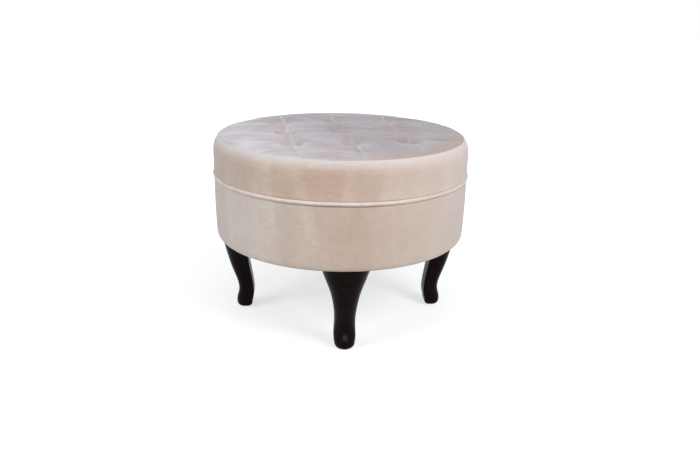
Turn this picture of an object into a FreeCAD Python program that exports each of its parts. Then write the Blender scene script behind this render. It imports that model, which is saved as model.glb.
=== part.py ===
import FreeCAD, Part
import math
import os
import Sketcher

# A round upholstered footstool. Z is up, the origin is on the floor under the middle of the seat,
# the front leg points along -Y. Lengths are millimetres, angles are degrees.

Vector = FreeCAD.Vector
UP = Vector(0, 0, 1)
FULL_TURN = 360
QUARTER_TURN = 90

os.makedirs("parts", exist_ok=True)
doc = FreeCAD.newDocument("footstool")

# Driving dimensions

sizes = {
    # Sewn cover, its padding and the gaps between the layers
    "seat_radius": 274.0,
    "cover_wall": 1.6,
    "soft_gap": 0.3,
    "top_wadding_wall": 10.0,
    "side_wadding_wall": 5.6,
    "under_corner_radius": 7.0,
    "hem_width": 18.0,
    # Cushion above the top board
    "cushion_height": 86.0,
    "crown_fall": 6.5,
    "plateau_radius": 190.0,
    "shoulder_radius": 48.0,
    "shoulder_rise": 29.5,
    # Tufts: a square grid, turned about the middle of the seat
    "tuft_pitch": 120.0,
    "tuft_turn": 6.2,
    "tuft_depth": 12.0,
    "tuft_mouth_radius": 28.0,
    "tuft_seat_radius": 12.0,
    "button_radius": 11.0,
    "button_height": 6.0,
    # Creases between the pillows: how far they lie below the crown along a pleat
    "crease_at_tuft": 8.0,
    "crease_midway": 3.0,
    "crease_outside": 3.0,
    "crease_at_rim": 1.5,
    "crown_lift": 1.0,
    # Twines that pull the tufts down
    "twine_radius": 0.9,
    "twine_hole_radius": 2.5,
    "foam_hole_radius": 5.0,
    "washer_radius": 10.0,
    "washer_thickness": 3.0,
    "knot_radius": 3.0,
    # Piping
    "piping_radius": 4.25,
    "piping_wall": 1.0,
    "piping_stand": 2.85,
    "flange_drop": 15.0,
    # Frame
    "shell_wall": 3.0,
    "fit_gap": 0.3,
    "base_board_thickness": 18.0,
    "top_board_thickness": 15.0,
    "post_height": 101.0,
    "post_width": 40.0,
    "post_depth": 22.0,
    "post_inset": 4.0,
    "post_count": 8,
    # Wood screws and brads
    "screw_radius": 2.0,
    "screw_length": 45.0,
    "screw_head_radius": 4.2,
    "screw_head_height": 3.0,
    "pilot_spare": 3.0,
    "brad_radius": 0.8,
    "brad_length": 20.0,
    # Dust cover and its staples
    "dust_wall": 0.8,
    "dust_overlap": 8.0,
    "staple_width": 10.0,
    "staple_wire": 0.7,
    "staple_depth": 1.2,
    "staple_leg": 8.0,
    "staple_gap": 0.2,
    "staple_inset": 3.4,
    "staple_count": 12,
    # Legs: height, depth and width where they meet the seat, foot's axis inwards from the seat's outside
    "leg_height": 182.7,
    "leg_depth": 56.0,
    "leg_width": 104.0,
    "leg_inset": 54.0,
    "leg_count": 4,
    # Leg fastenings
    "bolt_offset": 16.0,
    "bolt_radius": 4.0,
    "bolt_depth": 40.0,
    "bolt_rise": 12.0,
    "nut_flange_radius": 12.0,
    "nut_flange_thickness": 1.6,
    "nut_barrel_radius": 5.4,
    "nut_barrel_length": 11.0,
    # Glides
    "glide_height": 2.5,
    "glide_radius": 10.0,
    "nail_radius": 1.3,
    "nail_length": 16.0,
}

sheet = doc.addObject("Spreadsheet::Sheet", "sizes")
for row, (name, number) in enumerate(sizes.items(), start=1):
    sheet.set(f"A{row}", name)
    sheet.set(f"B{row}", str(number))
    sheet.setAlias(f"B{row}", name)
doc.recompute()

# Tufts sit at these multiples of the pitch, in rows and in columns
TUFT_STEPS = (-1, 0, 1)

# Cabriole leg, from the foot up. Height is a share of the leg's height, the outer and inner faces are
# shares of its top depth measured from the foot's axis, the half width is a share of its top width.
leg_section_shares = (
    (0.000, 0.200, 0.240, 0.150),
    (0.020, 0.255, 0.320, 0.187),
    (0.055, 0.280, 0.362, 0.207),
    (0.100, 0.270, 0.392, 0.217),
    (0.170, 0.208, 0.430, 0.218),
    (0.250, 0.190, 0.424, 0.211),
    (0.340, 0.250, 0.392, 0.209),
    (0.420, 0.340, 0.350, 0.216),
    (0.505, 0.437, 0.303, 0.233),
    (0.590, 0.522, 0.268, 0.257),
    (0.670, 0.592, 0.248, 0.289),
    (0.755, 0.660, 0.233, 0.340),
    (0.885, 0.745, 0.216, 0.430),
    (1.000, 0.800, 0.200, 0.500),
)
# Rounding of a leg section: its outer corners, then its inner ones
outer_corner_shares = (0.76, 0.90)
inner_corner_shares = (0.20, 0.50)


# Levels from the floor upwards, as expressions on the sheet
LEG_TOP = "(sizes.glide_height + sizes.leg_height)"
HEM_BOTTOM = f"({LEG_TOP} + sizes.dust_wall)"
BASE_BOTTOM = f"({HEM_BOTTOM} + sizes.cover_wall)"
BASE_TOP = f"({BASE_BOTTOM} + sizes.base_board_thickness)"
DECK_BOTTOM = f"({BASE_TOP} + sizes.post_height)"
DECK_TOP = f"({DECK_BOTTOM} + sizes.top_board_thickness)"
CROWN_TOP = f"({DECK_TOP} + sizes.cushion_height)"
RIDGE_LEVEL = f"({CROWN_TOP} - sizes.crown_fall)"
SHOULDER_LEVEL = f"({RIDGE_LEVEL} - sizes.shoulder_rise)"
TUFT_FLOOR = f"({CROWN_TOP} - sizes.tuft_depth)"
PIPING_REACH = "(sizes.piping_radius + sizes.soft_gap)"
UPPER_EDGE = f"({DECK_TOP} + {PIPING_REACH})"
LOWER_EDGE = f"({DECK_TOP} - {PIPING_REACH})"
FLANGE_BOTTOM = f"({DECK_TOP} - sizes.flange_drop)"
WASHER_BOTTOM = f"({DECK_BOTTOM} - sizes.washer_thickness)"

# Radii from the rim inwards
COVER_INSIDE = "(sizes.seat_radius - sizes.cover_wall)"
PADDING_OUTSIDE = f"({COVER_INSIDE} - sizes.soft_gap)"
SIDE_PADDING_INSIDE = f"({PADDING_OUTSIDE} - sizes.side_wadding_wall)"
SHELL_OUTSIDE = f"({SIDE_PADDING_INSIDE} - sizes.soft_gap)"
SHELL_INSIDE = f"({SHELL_OUTSIDE} - sizes.shell_wall)"
BOARD_RADIUS = f"({SHELL_INSIDE} - sizes.fit_gap)"
HEM_INSIDE = f"({BOARD_RADIUS} - sizes.hem_width)"
DUST_RADIUS = f"({HEM_INSIDE} + sizes.dust_overlap)"
PIPING_CENTRE = "(sizes.seat_radius + sizes.piping_stand - sizes.piping_radius)"
SHOULDER_CENTRE = "(sizes.seat_radius - sizes.shoulder_radius)"
SHOULDER_INSIDE = "(sizes.shoulder_radius - sizes.cover_wall)"
RIDGE_RADIUS = f"({SHOULDER_CENTRE} + sqrt(sizes.shoulder_radius ^ 2 - sizes.shoulder_rise ^ 2))"
RIDGE_INSIDE = f"({SHOULDER_CENTRE} + sqrt({SHOULDER_INSIDE} ^ 2 - sizes.shoulder_rise ^ 2))"
POST_CENTRE = f"({BOARD_RADIUS} - sizes.post_inset - sizes.post_depth / 2)"
LEG_CENTRE = "(sizes.seat_radius - sizes.leg_inset)"
BOLT_CENTRE = f"({LEG_CENTRE} + sizes.bolt_offset)"
STAPLE_CENTRE = f"({DUST_RADIUS} - sizes.staple_inset)"

# Bores and small radii
CORD_RADIUS = "(sizes.piping_radius - sizes.piping_wall - sizes.soft_gap)"
BOLT_HOLE = "(sizes.bolt_radius + sizes.fit_gap)"
SCREW_HOLE = "(sizes.screw_radius + sizes.fit_gap)"
WASHER_BORE = "(sizes.twine_radius + sizes.fit_gap)"
NAIL_HEAD_RADIUS = "(2 * sizes.nail_radius)"
TOP_BRAD_LEVEL = f"({DECK_TOP} - sizes.top_board_thickness / 2)"
BASE_BRAD_LEVEL = f"({BASE_BOTTOM} + sizes.base_board_thickness / 2)"

# Turns about Z: posts stand between the legs, staples clear of the leg tops
POST_TURN = "(180 / sizes.post_count)"
STAPLE_TURN = "(180 / sizes.staple_count)"


def value(expression):
    """Number that an expression on the sheet gives."""
    return float(sheet.evalExpression(expression))


def turned(angle_expression):
    """Placement turned about Z."""
    return FreeCAD.Placement(Vector(), FreeCAD.Rotation(UP, value(angle_expression)))


# Helpers for bodies and sketches

def new_body(label):
    body = doc.addObject("PartDesign::Body", label)
    body.Label = label
    return body


def origin_feature(body, role):
    for feature in body.Origin.OriginFeatures:
        if feature.Role == role:
            return feature
    raise ValueError(role)


def new_sketch(body, role, name, out="0", lift="0", turn="0"):
    """Sketch on an origin plane: out along its own x, lift along its normal, turned about that normal."""
    sketch = body.newObject("Sketcher::SketchObject", f"{body.Name}_{name}")
    sketch.AttachmentSupport = [(origin_feature(body, role), "")]
    sketch.MapMode = "FlatFace"
    sketch.AttachmentOffset = turned(turn)
    for axis, shift in (("x", out), ("z", lift)):
        if shift != "0":
            sketch.setExpression(f"AttachmentOffset.Base.{axis}", shift)
    return sketch


def bind(sketch, kind, geometry, point, expression):
    """Tie a point's distance from the sketch's origin to the sheet."""
    if expression == "0":
        axis = -2 if kind == "DistanceX" else -1
        sketch.addConstraint(Sketcher.Constraint("PointOnObject", geometry, point, axis))
        return
    constraint = Sketcher.Constraint(kind, -1, 1, geometry, point, value(expression))
    index = sketch.addConstraint(constraint)
    sketch.setExpression(f"Constraints[{index}]", expression)


def draw_outline(sketch, corners, centres={}):
    """Closed outline through corners (x, y, which of them are bound).

    centres gives, by corner number, the centre of the arc that leaves that corner. An arc's far corner
    has one bound coordinate, because the arc itself settles the other.
    """
    points = [Vector(value(x), value(y), 0) for x, y, _ in corners]
    ends = []
    for number, start in enumerate(points):
        finish = points[(number + 1) % len(points)]
        if number not in centres:
            geometry = sketch.addGeometry(Part.LineSegment(start, finish), False)
            ends.append((geometry, 1, 2))
            continue
        centre = Vector(*[value(place) for place in centres[number]], 0)
        circle = Part.Circle(centre, UP, (start - centre).Length)
        anticlockwise = (start - centre).cross(finish - centre).z > 0
        first, last = (start, finish) if anticlockwise else (finish, start)
        arc = Part.ArcOfCircle(circle, circle.parameter(first), circle.parameter(last))
        geometry = sketch.addGeometry(arc, False)
        ends.append((geometry, 1, 2) if anticlockwise else (geometry, 2, 1))
    for number, (geometry, _, finish) in enumerate(ends):
        following, start, _ = ends[(number + 1) % len(ends)]
        sketch.addConstraint(Sketcher.Constraint("Coincident", geometry, finish, following, start))
    for (x, y, bound), (geometry, start, _) in zip(corners, ends):
        if "x" in bound:
            bind(sketch, "DistanceX", geometry, start, x)
        if "y" in bound:
            bind(sketch, "DistanceY", geometry, start, y)
    for number, (x, y) in centres.items():
        bind(sketch, "DistanceX", ends[number][0], 3, x)
        bind(sketch, "DistanceY", ends[number][0], 3, y)


def box_corners(left, right, low, high):
    return [(left, low, "xy"), (right, low, "xy"), (right, high, "xy"), (left, high, "xy")]


def draw_circle(sketch, x, y, radius):
    circle = Part.Circle(Vector(value(x), value(y), 0), UP, value(radius))
    geometry = sketch.addGeometry(circle, False)
    bind(sketch, "DistanceX", geometry, 3, x)
    bind(sketch, "DistanceY", geometry, 3, y)
    index = sketch.addConstraint(Sketcher.Constraint("Radius", geometry, value(radius)))
    sketch.setExpression(f"Constraints[{index}]", radius)


def revolve(body, sketch):
    """Full turn of a sketch about its own vertical axis."""
    feature = body.newObject("PartDesign::Revolution", f"{sketch.Name}_turned")
    feature.Profile = sketch
    feature.ReferenceAxis = (sketch, ["V_Axis"])
    feature.Angle = FULL_TURN
    body.Tip = feature
    return feature


def groove(body, sketch):
    """Cut by a full turn of a sketch about its own vertical axis."""
    feature = body.newObject("PartDesign::Groove", f"{sketch.Name}_cut")
    feature.Profile = sketch
    feature.ReferenceAxis = (sketch, ["V_Axis"])
    feature.Angle = FULL_TURN
    body.Tip = feature


def pad(body, sketch, length):
    feature = body.newObject("PartDesign::Pad", f"{sketch.Name}_pad")
    feature.Profile = sketch
    feature.setExpression("Length", length)
    body.Tip = feature
    return feature


def pocket(body, sketch, length, upward=False):
    """Cut away from the sketch's normal, or along it when upward is set."""
    feature = body.newObject("PartDesign::Pocket", f"{sketch.Name}_pocket")
    feature.Profile = sketch
    feature.setExpression("Length", length)
    feature.Reversed = upward
    body.Tip = feature
    return feature


def ring(body, features, count):
    """Copies of features, evenly spaced about Z."""
    pattern = body.newObject("PartDesign::PolarPattern", f"{features[0].Name}_ring")
    pattern.Originals = features
    pattern.Axis = (origin_feature(body, "Z_Axis"), [""])
    pattern.Angle = FULL_TURN
    pattern.setExpression("Occurrences", count)
    body.Tip = pattern


def tuft_grid(body, feature):
    """Copies of a feature that was made at the grid's first corner."""
    pattern = body.newObject("PartDesign::LinearPattern", f"{feature.Name}_grid")
    pattern.Originals = [feature]
    pattern.Direction = (origin_feature(body, "X_Axis"), [""])
    pattern.Direction2 = (origin_feature(body, "Y_Axis"), [""])
    pattern.Occurrences = len(TUFT_STEPS)
    pattern.Occurrences2 = len(TUFT_STEPS)
    pattern.setExpression("Length", "2 * sizes.tuft_pitch")
    pattern.setExpression("Length2", "2 * sizes.tuft_pitch")
    body.Tip = pattern
    body.Placement = turned("sizes.tuft_turn")


def tuft_sketch(body, name):
    """Upright sketch whose origin is on the axis of the grid's first corner."""
    return new_sketch(body, "XZ_Plane", name, out="-sizes.tuft_pitch", lift="sizes.tuft_pitch")


def turned_body(label, corners, centres={}):
    """Body of revolution about Z."""
    body = new_body(label)
    sketch = new_sketch(body, "XZ_Plane", "profile")
    draw_outline(sketch, corners, centres)
    revolve(body, sketch)
    return body


# Soft forms of the cushion, shared by the cover, the wadding and the foam

def line(start, finish):
    return Part.LineSegment(start, finish).toShape()


def arc_through(start, middle, finish):
    return Part.Arc(start, middle, finish).toShape()


def arc_about(centre, start, finish):
    """Arc from start to finish, under a half circle, about a centre."""
    radius = (start - centre).Length
    middle = centre + ((start + finish) / 2 - centre).normalize() * radius
    return arc_through(start, middle, finish)


def solid_of_turn(edges):
    return Part.Face(Part.Wire(edges)).revolve(Vector(), UP, FULL_TURN)


def crown_disc(drop, radius, bottom):
    """Disc with a flat top out to the plateau and an arc that falls from there to the ridge, sunk by drop."""
    top = value(CROWN_TOP) + value("sizes.crown_lift") - drop
    plateau = value("sizes.plateau_radius")
    fall = value("sizes.crown_fall") + value("sizes.crown_lift")
    run = value(RIDGE_RADIUS) - plateau
    bend = (run ** 2 + fall ** 2) / (2 * fall)
    rim = top - bend + math.sqrt(bend ** 2 - (radius - plateau) ** 2)
    foot = Vector(0, 0, bottom)
    outer_foot = Vector(radius, 0, bottom)
    outer_top = Vector(radius, 0, rim)
    plateau_edge = Vector(plateau, 0, top)
    middle = Vector(0, 0, top)
    edges = [
        line(foot, outer_foot),
        line(outer_foot, outer_top),
        arc_about(Vector(plateau, 0, top - bend), outer_top, plateau_edge),
        line(plateau_edge, middle),
        line(middle, foot),
    ]
    return solid_of_turn(edges)


def shoulder_block(inset, bottom):
    """Round block with straight sides and the rounded shoulder, inset from the seat's outside."""
    side = value("sizes.seat_radius") - inset
    bend = value("sizes.shoulder_radius") - inset
    level = value(SHOULDER_LEVEL)
    foot = Vector(0, 0, bottom)
    outer_foot = Vector(side, 0, bottom)
    outer_top = Vector(side, 0, level)
    crest = Vector(side - bend, 0, level + bend)
    middle = Vector(0, 0, level + bend)
    edges = [
        line(foot, outer_foot),
        line(outer_foot, outer_top),
        arc_about(Vector(side - bend, 0, level), outer_top, crest),
        line(crest, middle),
        line(middle, foot),
    ]
    return solid_of_turn(edges)


def pillow_section(x, crease, crest, outer_crest, top, bottom):
    """Closed wire across the cushion at x: a row of arcs that meet in creases on the tuft columns."""
    pitch = value("sizes.tuft_pitch")
    edge = value("sizes.seat_radius")
    rim = value("sizes.crease_at_rim")
    between = (pitch + edge) / 2
    arcs = (
        ((-edge, rim), (-between, outer_crest), (-pitch, crease)),
        ((-pitch, crease), (-pitch / 2, crest), (0, crease)),
        ((0, crease), (pitch / 2, crest), (pitch, crease)),
        ((pitch, crease), (between, outer_crest), (edge, rim)),
    )
    edges = [arc_through(*[Vector(x, y, top - depth) for y, depth in arc]) for arc in arcs]
    left_top = Vector(x, -edge, top - rim)
    left_foot = Vector(x, -edge, bottom)
    right_foot = Vector(x, edge, bottom)
    right_top = Vector(x, edge, top - rim)
    edges.append(line(right_top, right_foot))
    edges.append(line(right_foot, left_foot))
    edges.append(line(left_foot, left_top))
    return Part.Wire(edges)


def pillow_slab(drop, bottom):
    """Square slab of pillows between the tufts, sunk by drop: lofts that meet in creases on the tuft rows."""
    top = value(CROWN_TOP) - drop
    pitch = value("sizes.tuft_pitch")
    edge = value("sizes.seat_radius")
    at_tuft = value("sizes.crease_at_tuft")
    midway = value("sizes.crease_midway")
    outside = value("sizes.crease_outside")
    at_rim = value("sizes.crease_at_rim")

    def inner_pillows(start):
        return Part.makeLoft([
            pillow_section(start, at_tuft, midway, outside, top, bottom),
            pillow_section(start + pitch / 2, midway, 0, 0, top, bottom),
            pillow_section(start + pitch, at_tuft, midway, outside, top, bottom),
        ], True)

    def outer_pillows(side):
        return Part.makeLoft([
            pillow_section(side * pitch, at_tuft, midway, outside, top, bottom),
            pillow_section(side * (pitch + edge) / 2, outside, 0, 0, top, bottom),
            pillow_section(side * edge, at_rim, 0, 0, top, bottom),
        ], True)

    parts = [outer_pillows(-1), inner_pillows(-pitch), inner_pillows(0), outer_pillows(1)]
    return parts[0].fuse(parts[1:])


def tuft_cutter(drop):
    """Funnel of one tuft: a rolled mouth down to the flat seat of the button."""
    top = value(CROWN_TOP) - drop
    floor = top - value("sizes.tuft_depth")
    mouth = value("sizes.tuft_mouth_radius")
    seat = value("sizes.tuft_seat_radius")
    depth = value("sizes.tuft_depth")
    bend = ((mouth - seat) ** 2 + depth ** 2) / (2 * depth)
    middle = Vector(0, 0, floor)
    seat_edge = Vector(seat, 0, floor)
    mouth_edge = Vector(mouth, 0, top)
    mouth_lid = Vector(mouth, 0, top + depth)
    lid_middle = Vector(0, 0, top + depth)
    edges = [
        line(middle, seat_edge),
        arc_about(Vector(mouth, 0, top - bend), seat_edge, mouth_edge),
        line(mouth_edge, mouth_lid),
        line(mouth_lid, lid_middle),
        line(lid_middle, middle),
    ]
    return solid_of_turn(edges)


def at_every_tuft(shape):
    """Copies of a shape at all places of the tuft grid."""
    pitch = value("sizes.tuft_pitch")
    return [
        shape.translated(Vector(column * pitch, row * pitch, 0))
        for row in TUFT_STEPS
        for column in TUFT_STEPS
    ]


def tufted_form(drop, bottom):
    """Crowned cushion with its tufts and creases, sunk by drop, wider than the seat."""
    crown = crown_disc(drop, value("sizes.seat_radius"), bottom)
    return pillow_slab(drop, bottom).common(crown).cut(at_every_tuft(tuft_cutter(drop)))


def soft_piece(label, shape):
    """Document object for a soft form, turned with the tuft grid."""
    piece = doc.addObject("Part::Feature", label)
    piece.Label = label
    piece.Shape = shape
    piece.Placement = turned("sizes.tuft_turn")
    return piece


# Sub-parts: the cover

def make_top_panel_cover():
    """Tufted velvet panel inside the ridge, with a twine hole in every tuft."""
    wall = value("sizes.cover_wall")
    bottom = value(DECK_TOP)
    radius = value(RIDGE_INSIDE) - value("sizes.soft_gap")
    panel = Part.makeCylinder(radius, value(CROWN_TOP) + wall).common(tufted_form(0, bottom))
    skin = panel.cut(tufted_form(wall, bottom - wall))
    bore = Part.makeCylinder(value("sizes.twine_hole_radius"), value(CROWN_TOP))
    return soft_piece("top_panel_cover", skin.cut(at_every_tuft(bore)))


def make_boxing_cover():
    """Upper side band: straight above the piping, then a rounded shoulder up to the ridge."""
    corners = [
        (COVER_INSIDE, UPPER_EDGE, "xy"),
        ("sizes.seat_radius", UPPER_EDGE, "xy"),
        ("sizes.seat_radius", SHOULDER_LEVEL, "xy"),
        (RIDGE_RADIUS, RIDGE_LEVEL, "y"),
        (RIDGE_INSIDE, RIDGE_LEVEL, "xy"),
        (COVER_INSIDE, SHOULDER_LEVEL, "y"),
    ]
    centre = (SHOULDER_CENTRE, SHOULDER_LEVEL)
    return turned_body("boxing_cover", corners, {2: centre, 4: centre})


def make_piping_cover():
    """Velvet round the piping cord, with its seam allowance turned down over the side shell."""
    body = new_body("piping_cover")
    flange_inside = f"({SHELL_OUTSIDE} + sizes.soft_gap)"
    flange_outside = f"({flange_inside} + sizes.piping_wall)"
    flange_under = f"({DECK_TOP} - sizes.piping_wall / 2)"
    flange_over = f"({DECK_TOP} + sizes.piping_wall / 2)"
    profile = new_sketch(body, "XZ_Plane", "round")
    draw_circle(profile, PIPING_CENTRE, DECK_TOP, "sizes.piping_radius")
    revolve(body, profile)
    flange = new_sketch(body, "XZ_Plane", "flange")
    draw_outline(flange, [
        (flange_inside, FLANGE_BOTTOM, "xy"),
        (flange_outside, FLANGE_BOTTOM, "xy"),
        (flange_outside, flange_under, "xy"),
        (PIPING_CENTRE, flange_under, "xy"),
        (PIPING_CENTRE, flange_over, "xy"),
        (flange_inside, flange_over, "xy"),
    ])
    revolve(body, flange)
    channel = new_sketch(body, "XZ_Plane", "channel")
    draw_circle(channel, PIPING_CENTRE, DECK_TOP, "(sizes.piping_radius - sizes.piping_wall)")
    groove(body, channel)
    return body


def make_piping_cord():
    body = new_body("piping_cord")
    section = new_sketch(body, "XZ_Plane", "section")
    draw_circle(section, PIPING_CENTRE, DECK_TOP, CORD_RADIUS)
    revolve(body, section)
    return body


def make_lower_cover():
    """Lower side band, rounded at its lower corner and turned in under the base board."""
    inner_bend = "(sizes.under_corner_radius - sizes.cover_wall)"
    bend_centre = ("(sizes.seat_radius - sizes.under_corner_radius)", f"({HEM_BOTTOM} + sizes.under_corner_radius)")
    corners = [
        (HEM_INSIDE, HEM_BOTTOM, "xy"),
        (bend_centre[0], HEM_BOTTOM, "xy"),
        ("sizes.seat_radius", bend_centre[1], "y"),
        ("sizes.seat_radius", LOWER_EDGE, "xy"),
        (COVER_INSIDE, LOWER_EDGE, "xy"),
        (COVER_INSIDE, bend_centre[1], "xy"),
        (bend_centre[0], BASE_BOTTOM, "x"),
        (HEM_INSIDE, BASE_BOTTOM, "xy"),
    ]
    body = turned_body("lower_cover", corners, {1: bend_centre, 5: bend_centre})
    cut_staple_holes(body, HEM_BOTTOM, "sizes.cover_wall")
    return body


# Sub-parts: padding

def make_top_wadding():
    """Wadding between the cover and the foam, over the top and down the sides of the cushion."""
    outer_drop = value("sizes.cover_wall + sizes.soft_gap")
    inner_drop = outer_drop + value("sizes.top_wadding_wall")
    bottom = value(UPPER_EDGE)
    deck = value(DECK_TOP)
    outside = shoulder_block(outer_drop, bottom).common(tufted_form(outer_drop, bottom))
    inside = shoulder_block(inner_drop, deck).common(tufted_form(inner_drop, deck))
    bore = Part.makeCylinder(value("sizes.twine_hole_radius"), value(CROWN_TOP))
    return soft_piece("top_wadding", outside.cut(inside).cut(at_every_tuft(bore)))


def make_foam_pad():
    """Foam block on the top board, with a hole under every tuft."""
    drop = value("sizes.cover_wall + sizes.soft_gap + sizes.top_wadding_wall + sizes.soft_gap")
    bottom = value(DECK_TOP)
    block = shoulder_block(drop, bottom).common(tufted_form(drop, bottom))
    bore = Part.makeCylinder(value("sizes.foam_hole_radius"), value(CROWN_TOP))
    return soft_piece("foam_pad", block.cut(at_every_tuft(bore)))


def make_side_wadding():
    """Wadding round the side shell, below the piping's seam allowance."""
    top = f"({FLANGE_BOTTOM} - sizes.soft_gap)"
    low = f"({BASE_BOTTOM} + sizes.soft_gap + sizes.under_corner_radius)"
    return turned_body("side_wadding", box_corners(SIDE_PADDING_INSIDE, PADDING_OUTSIDE, low, top))


# Sub-parts: tufts

def make_tuft_buttons():
    """Covered buttons: a flat base and a domed top."""
    body = new_body("tuft_buttons")
    sketch = tuft_sketch(body, "dome")
    base = f"({TUFT_FLOOR} + sizes.soft_gap)"
    peak = f"({base} + sizes.button_height)"
    dome_radius = "((sizes.button_radius ^ 2 + sizes.button_height ^ 2) / (2 * sizes.button_height))"
    corners = [
        ("0", base, "xy"),
        ("sizes.button_radius", base, "xy"),
        ("0", peak, "x"),
    ]
    draw_outline(sketch, corners, {1: ("0", f"({peak} - {dome_radius})")})
    tuft_grid(body, revolve(body, sketch))
    return body


def make_tuft_twines():
    """Twines from the buttons down through the cushion and the top board, with a knot under the washer."""
    body = new_body("tuft_twines")
    sketch = tuft_sketch(body, "twine")
    top = f"({TUFT_FLOOR} + sizes.soft_gap)"
    knot_bottom = f"({WASHER_BOTTOM} - 2 * sizes.knot_radius)"
    corners = [
        ("0", knot_bottom, "xy"),
        ("sizes.knot_radius", f"({WASHER_BOTTOM} - sizes.knot_radius)", "y"),
        ("sizes.twine_radius", WASHER_BOTTOM, "xy"),
        ("sizes.twine_radius", top, "xy"),
        ("0", top, "xy"),
    ]
    centre = ("0", f"({WASHER_BOTTOM} - sizes.knot_radius)")
    draw_outline(sketch, corners, {0: centre})
    tuft_grid(body, revolve(body, sketch))
    return body


def make_twine_washers():
    """Washers under the top board that carry the pull of the twines."""
    body = new_body("twine_washers")
    sketch = tuft_sketch(body, "washer")
    draw_outline(sketch, box_corners(WASHER_BORE, "sizes.washer_radius", WASHER_BOTTOM, DECK_BOTTOM))
    tuft_grid(body, revolve(body, sketch))
    return body


# Sub-parts: frame

def make_disc(label, radius, bottom, thickness):
    body = new_body(label)
    outline = new_sketch(body, "XY_Plane", "outline", lift=bottom)
    draw_circle(outline, "0", "0", radius)
    pad(body, outline, thickness)
    return body


def cut_screw_holes(body, level, thickness, heads_up):
    """Clearance holes through a board at every post, with a recess for the head on its outer face."""
    shaft = new_sketch(body, "XY_Plane", "screw_shaft", lift=level, turn=POST_TURN)
    draw_circle(shaft, POST_CENTRE, "0", SCREW_HOLE)
    shaft_hole = pocket(body, shaft, thickness, upward=not heads_up)
    head = new_sketch(body, "XY_Plane", "screw_head", lift=level, turn=POST_TURN)
    draw_circle(head, POST_CENTRE, "0", "(sizes.screw_head_radius + sizes.fit_gap)")
    head_hole = pocket(body, head, "(sizes.screw_head_height + sizes.fit_gap)", upward=not heads_up)
    ring(body, [shaft_hole, head_hole], "sizes.post_count")


def cut_brad_holes(body, level):
    """Radial holes for the brads, from outside the shell inwards."""
    sketch = new_sketch(body, "YZ_Plane", "brad_holes", lift=SHELL_OUTSIDE)
    draw_circle(sketch, "0", level, "(sizes.brad_radius + sizes.fit_gap)")
    bore = pocket(body, sketch, "(sizes.brad_length + sizes.fit_gap)")
    ring(body, [bore], "sizes.post_count")


def cut_staple_holes(body, level, depth):
    """Slots for both legs of every staple, from a level upwards."""
    sketch = new_sketch(body, "XY_Plane", "staple_slots", lift=level, turn=STAPLE_TURN)
    reach = "(sizes.staple_width / 2 + sizes.staple_gap)"
    inside = "(sizes.staple_width / 2 - sizes.staple_wire - sizes.staple_gap)"
    near = f"({STAPLE_CENTRE} - sizes.staple_depth / 2 - sizes.staple_gap)"
    far = f"({STAPLE_CENTRE} + sizes.staple_depth / 2 + sizes.staple_gap)"
    draw_outline(sketch, box_corners(near, far, inside, reach))
    draw_outline(sketch, box_corners(near, far, f"(-{reach})", f"(-{inside})"))
    slots = pocket(body, sketch, depth, upward=True)
    ring(body, [slots], "sizes.staple_count")


def make_top_board():
    """Plywood disc under the foam: holes for the twines, the screws and the brads."""
    body = make_disc("top_board", BOARD_RADIUS, DECK_BOTTOM, "sizes.top_board_thickness")
    sketch = new_sketch(body, "XY_Plane", "twine_holes", lift=DECK_TOP, turn="sizes.tuft_turn")
    for row in TUFT_STEPS:
        for column in TUFT_STEPS:
            place = [f"({step} * sizes.tuft_pitch)" if step else "0" for step in (column, row)]
            draw_circle(sketch, *place, "sizes.twine_hole_radius")
    pocket(body, sketch, "sizes.top_board_thickness")
    cut_screw_holes(body, DECK_TOP, "sizes.top_board_thickness", heads_up=True)
    cut_brad_holes(body, TOP_BRAD_LEVEL)
    return body


def make_base_board():
    """Plywood disc over the legs: holes for the tee nuts, the screws, the brads and the staples."""
    body = make_disc("base_board", BOARD_RADIUS, BASE_BOTTOM, "sizes.base_board_thickness")
    bolt = new_sketch(body, "XY_Plane", "bolt_hole", lift=BASE_TOP)
    draw_circle(bolt, BOLT_CENTRE, "0", BOLT_HOLE)
    bolt_hole = pocket(body, bolt, "sizes.base_board_thickness")
    barrel = new_sketch(body, "XY_Plane", "barrel_hole", lift=BASE_TOP)
    draw_circle(barrel, BOLT_CENTRE, "0", "(sizes.nut_barrel_radius + sizes.fit_gap)")
    barrel_hole = pocket(body, barrel, "(sizes.nut_barrel_length + sizes.fit_gap)")
    ring(body, [bolt_hole, barrel_hole], "sizes.leg_count")
    cut_screw_holes(body, BASE_BOTTOM, "sizes.base_board_thickness", heads_up=False)
    cut_brad_holes(body, BASE_BRAD_LEVEL)
    cut_staple_holes(body, BASE_BOTTOM, "sizes.staple_leg")
    return body


def make_posts():
    """Upright posts between the boards, each with a pilot hole at both ends."""
    pilots = (
        ("foot_pilot", BASE_TOP, True, "sizes.base_board_thickness"),
        ("head_pilot", DECK_BOTTOM, False, "sizes.top_board_thickness"),
    )
    count = int(value("sizes.post_count"))
    posts = []
    for number in range(count):
        body = new_body(f"post_{number + 1}")
        outline = new_sketch(body, "XY_Plane", "outline", lift=BASE_TOP)
        near = f"({POST_CENTRE} - sizes.post_depth / 2)"
        far = f"({POST_CENTRE} + sizes.post_depth / 2)"
        draw_outline(outline, box_corners(near, far, "(-sizes.post_width / 2)", "(sizes.post_width / 2)"))
        pad(body, outline, "sizes.post_height")
        for name, level, upward, board in pilots:
            pilot = new_sketch(body, "XY_Plane", name, lift=level)
            draw_circle(pilot, POST_CENTRE, "0", SCREW_HOLE)
            pocket(body, pilot, f"(sizes.screw_length - {board} + sizes.pilot_spare)", upward=upward)
        angle = value(POST_TURN) + number * FULL_TURN / count
        body.Placement = FreeCAD.Placement(Vector(), FreeCAD.Rotation(UP, angle))
        posts.append(body)
    return posts


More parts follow.
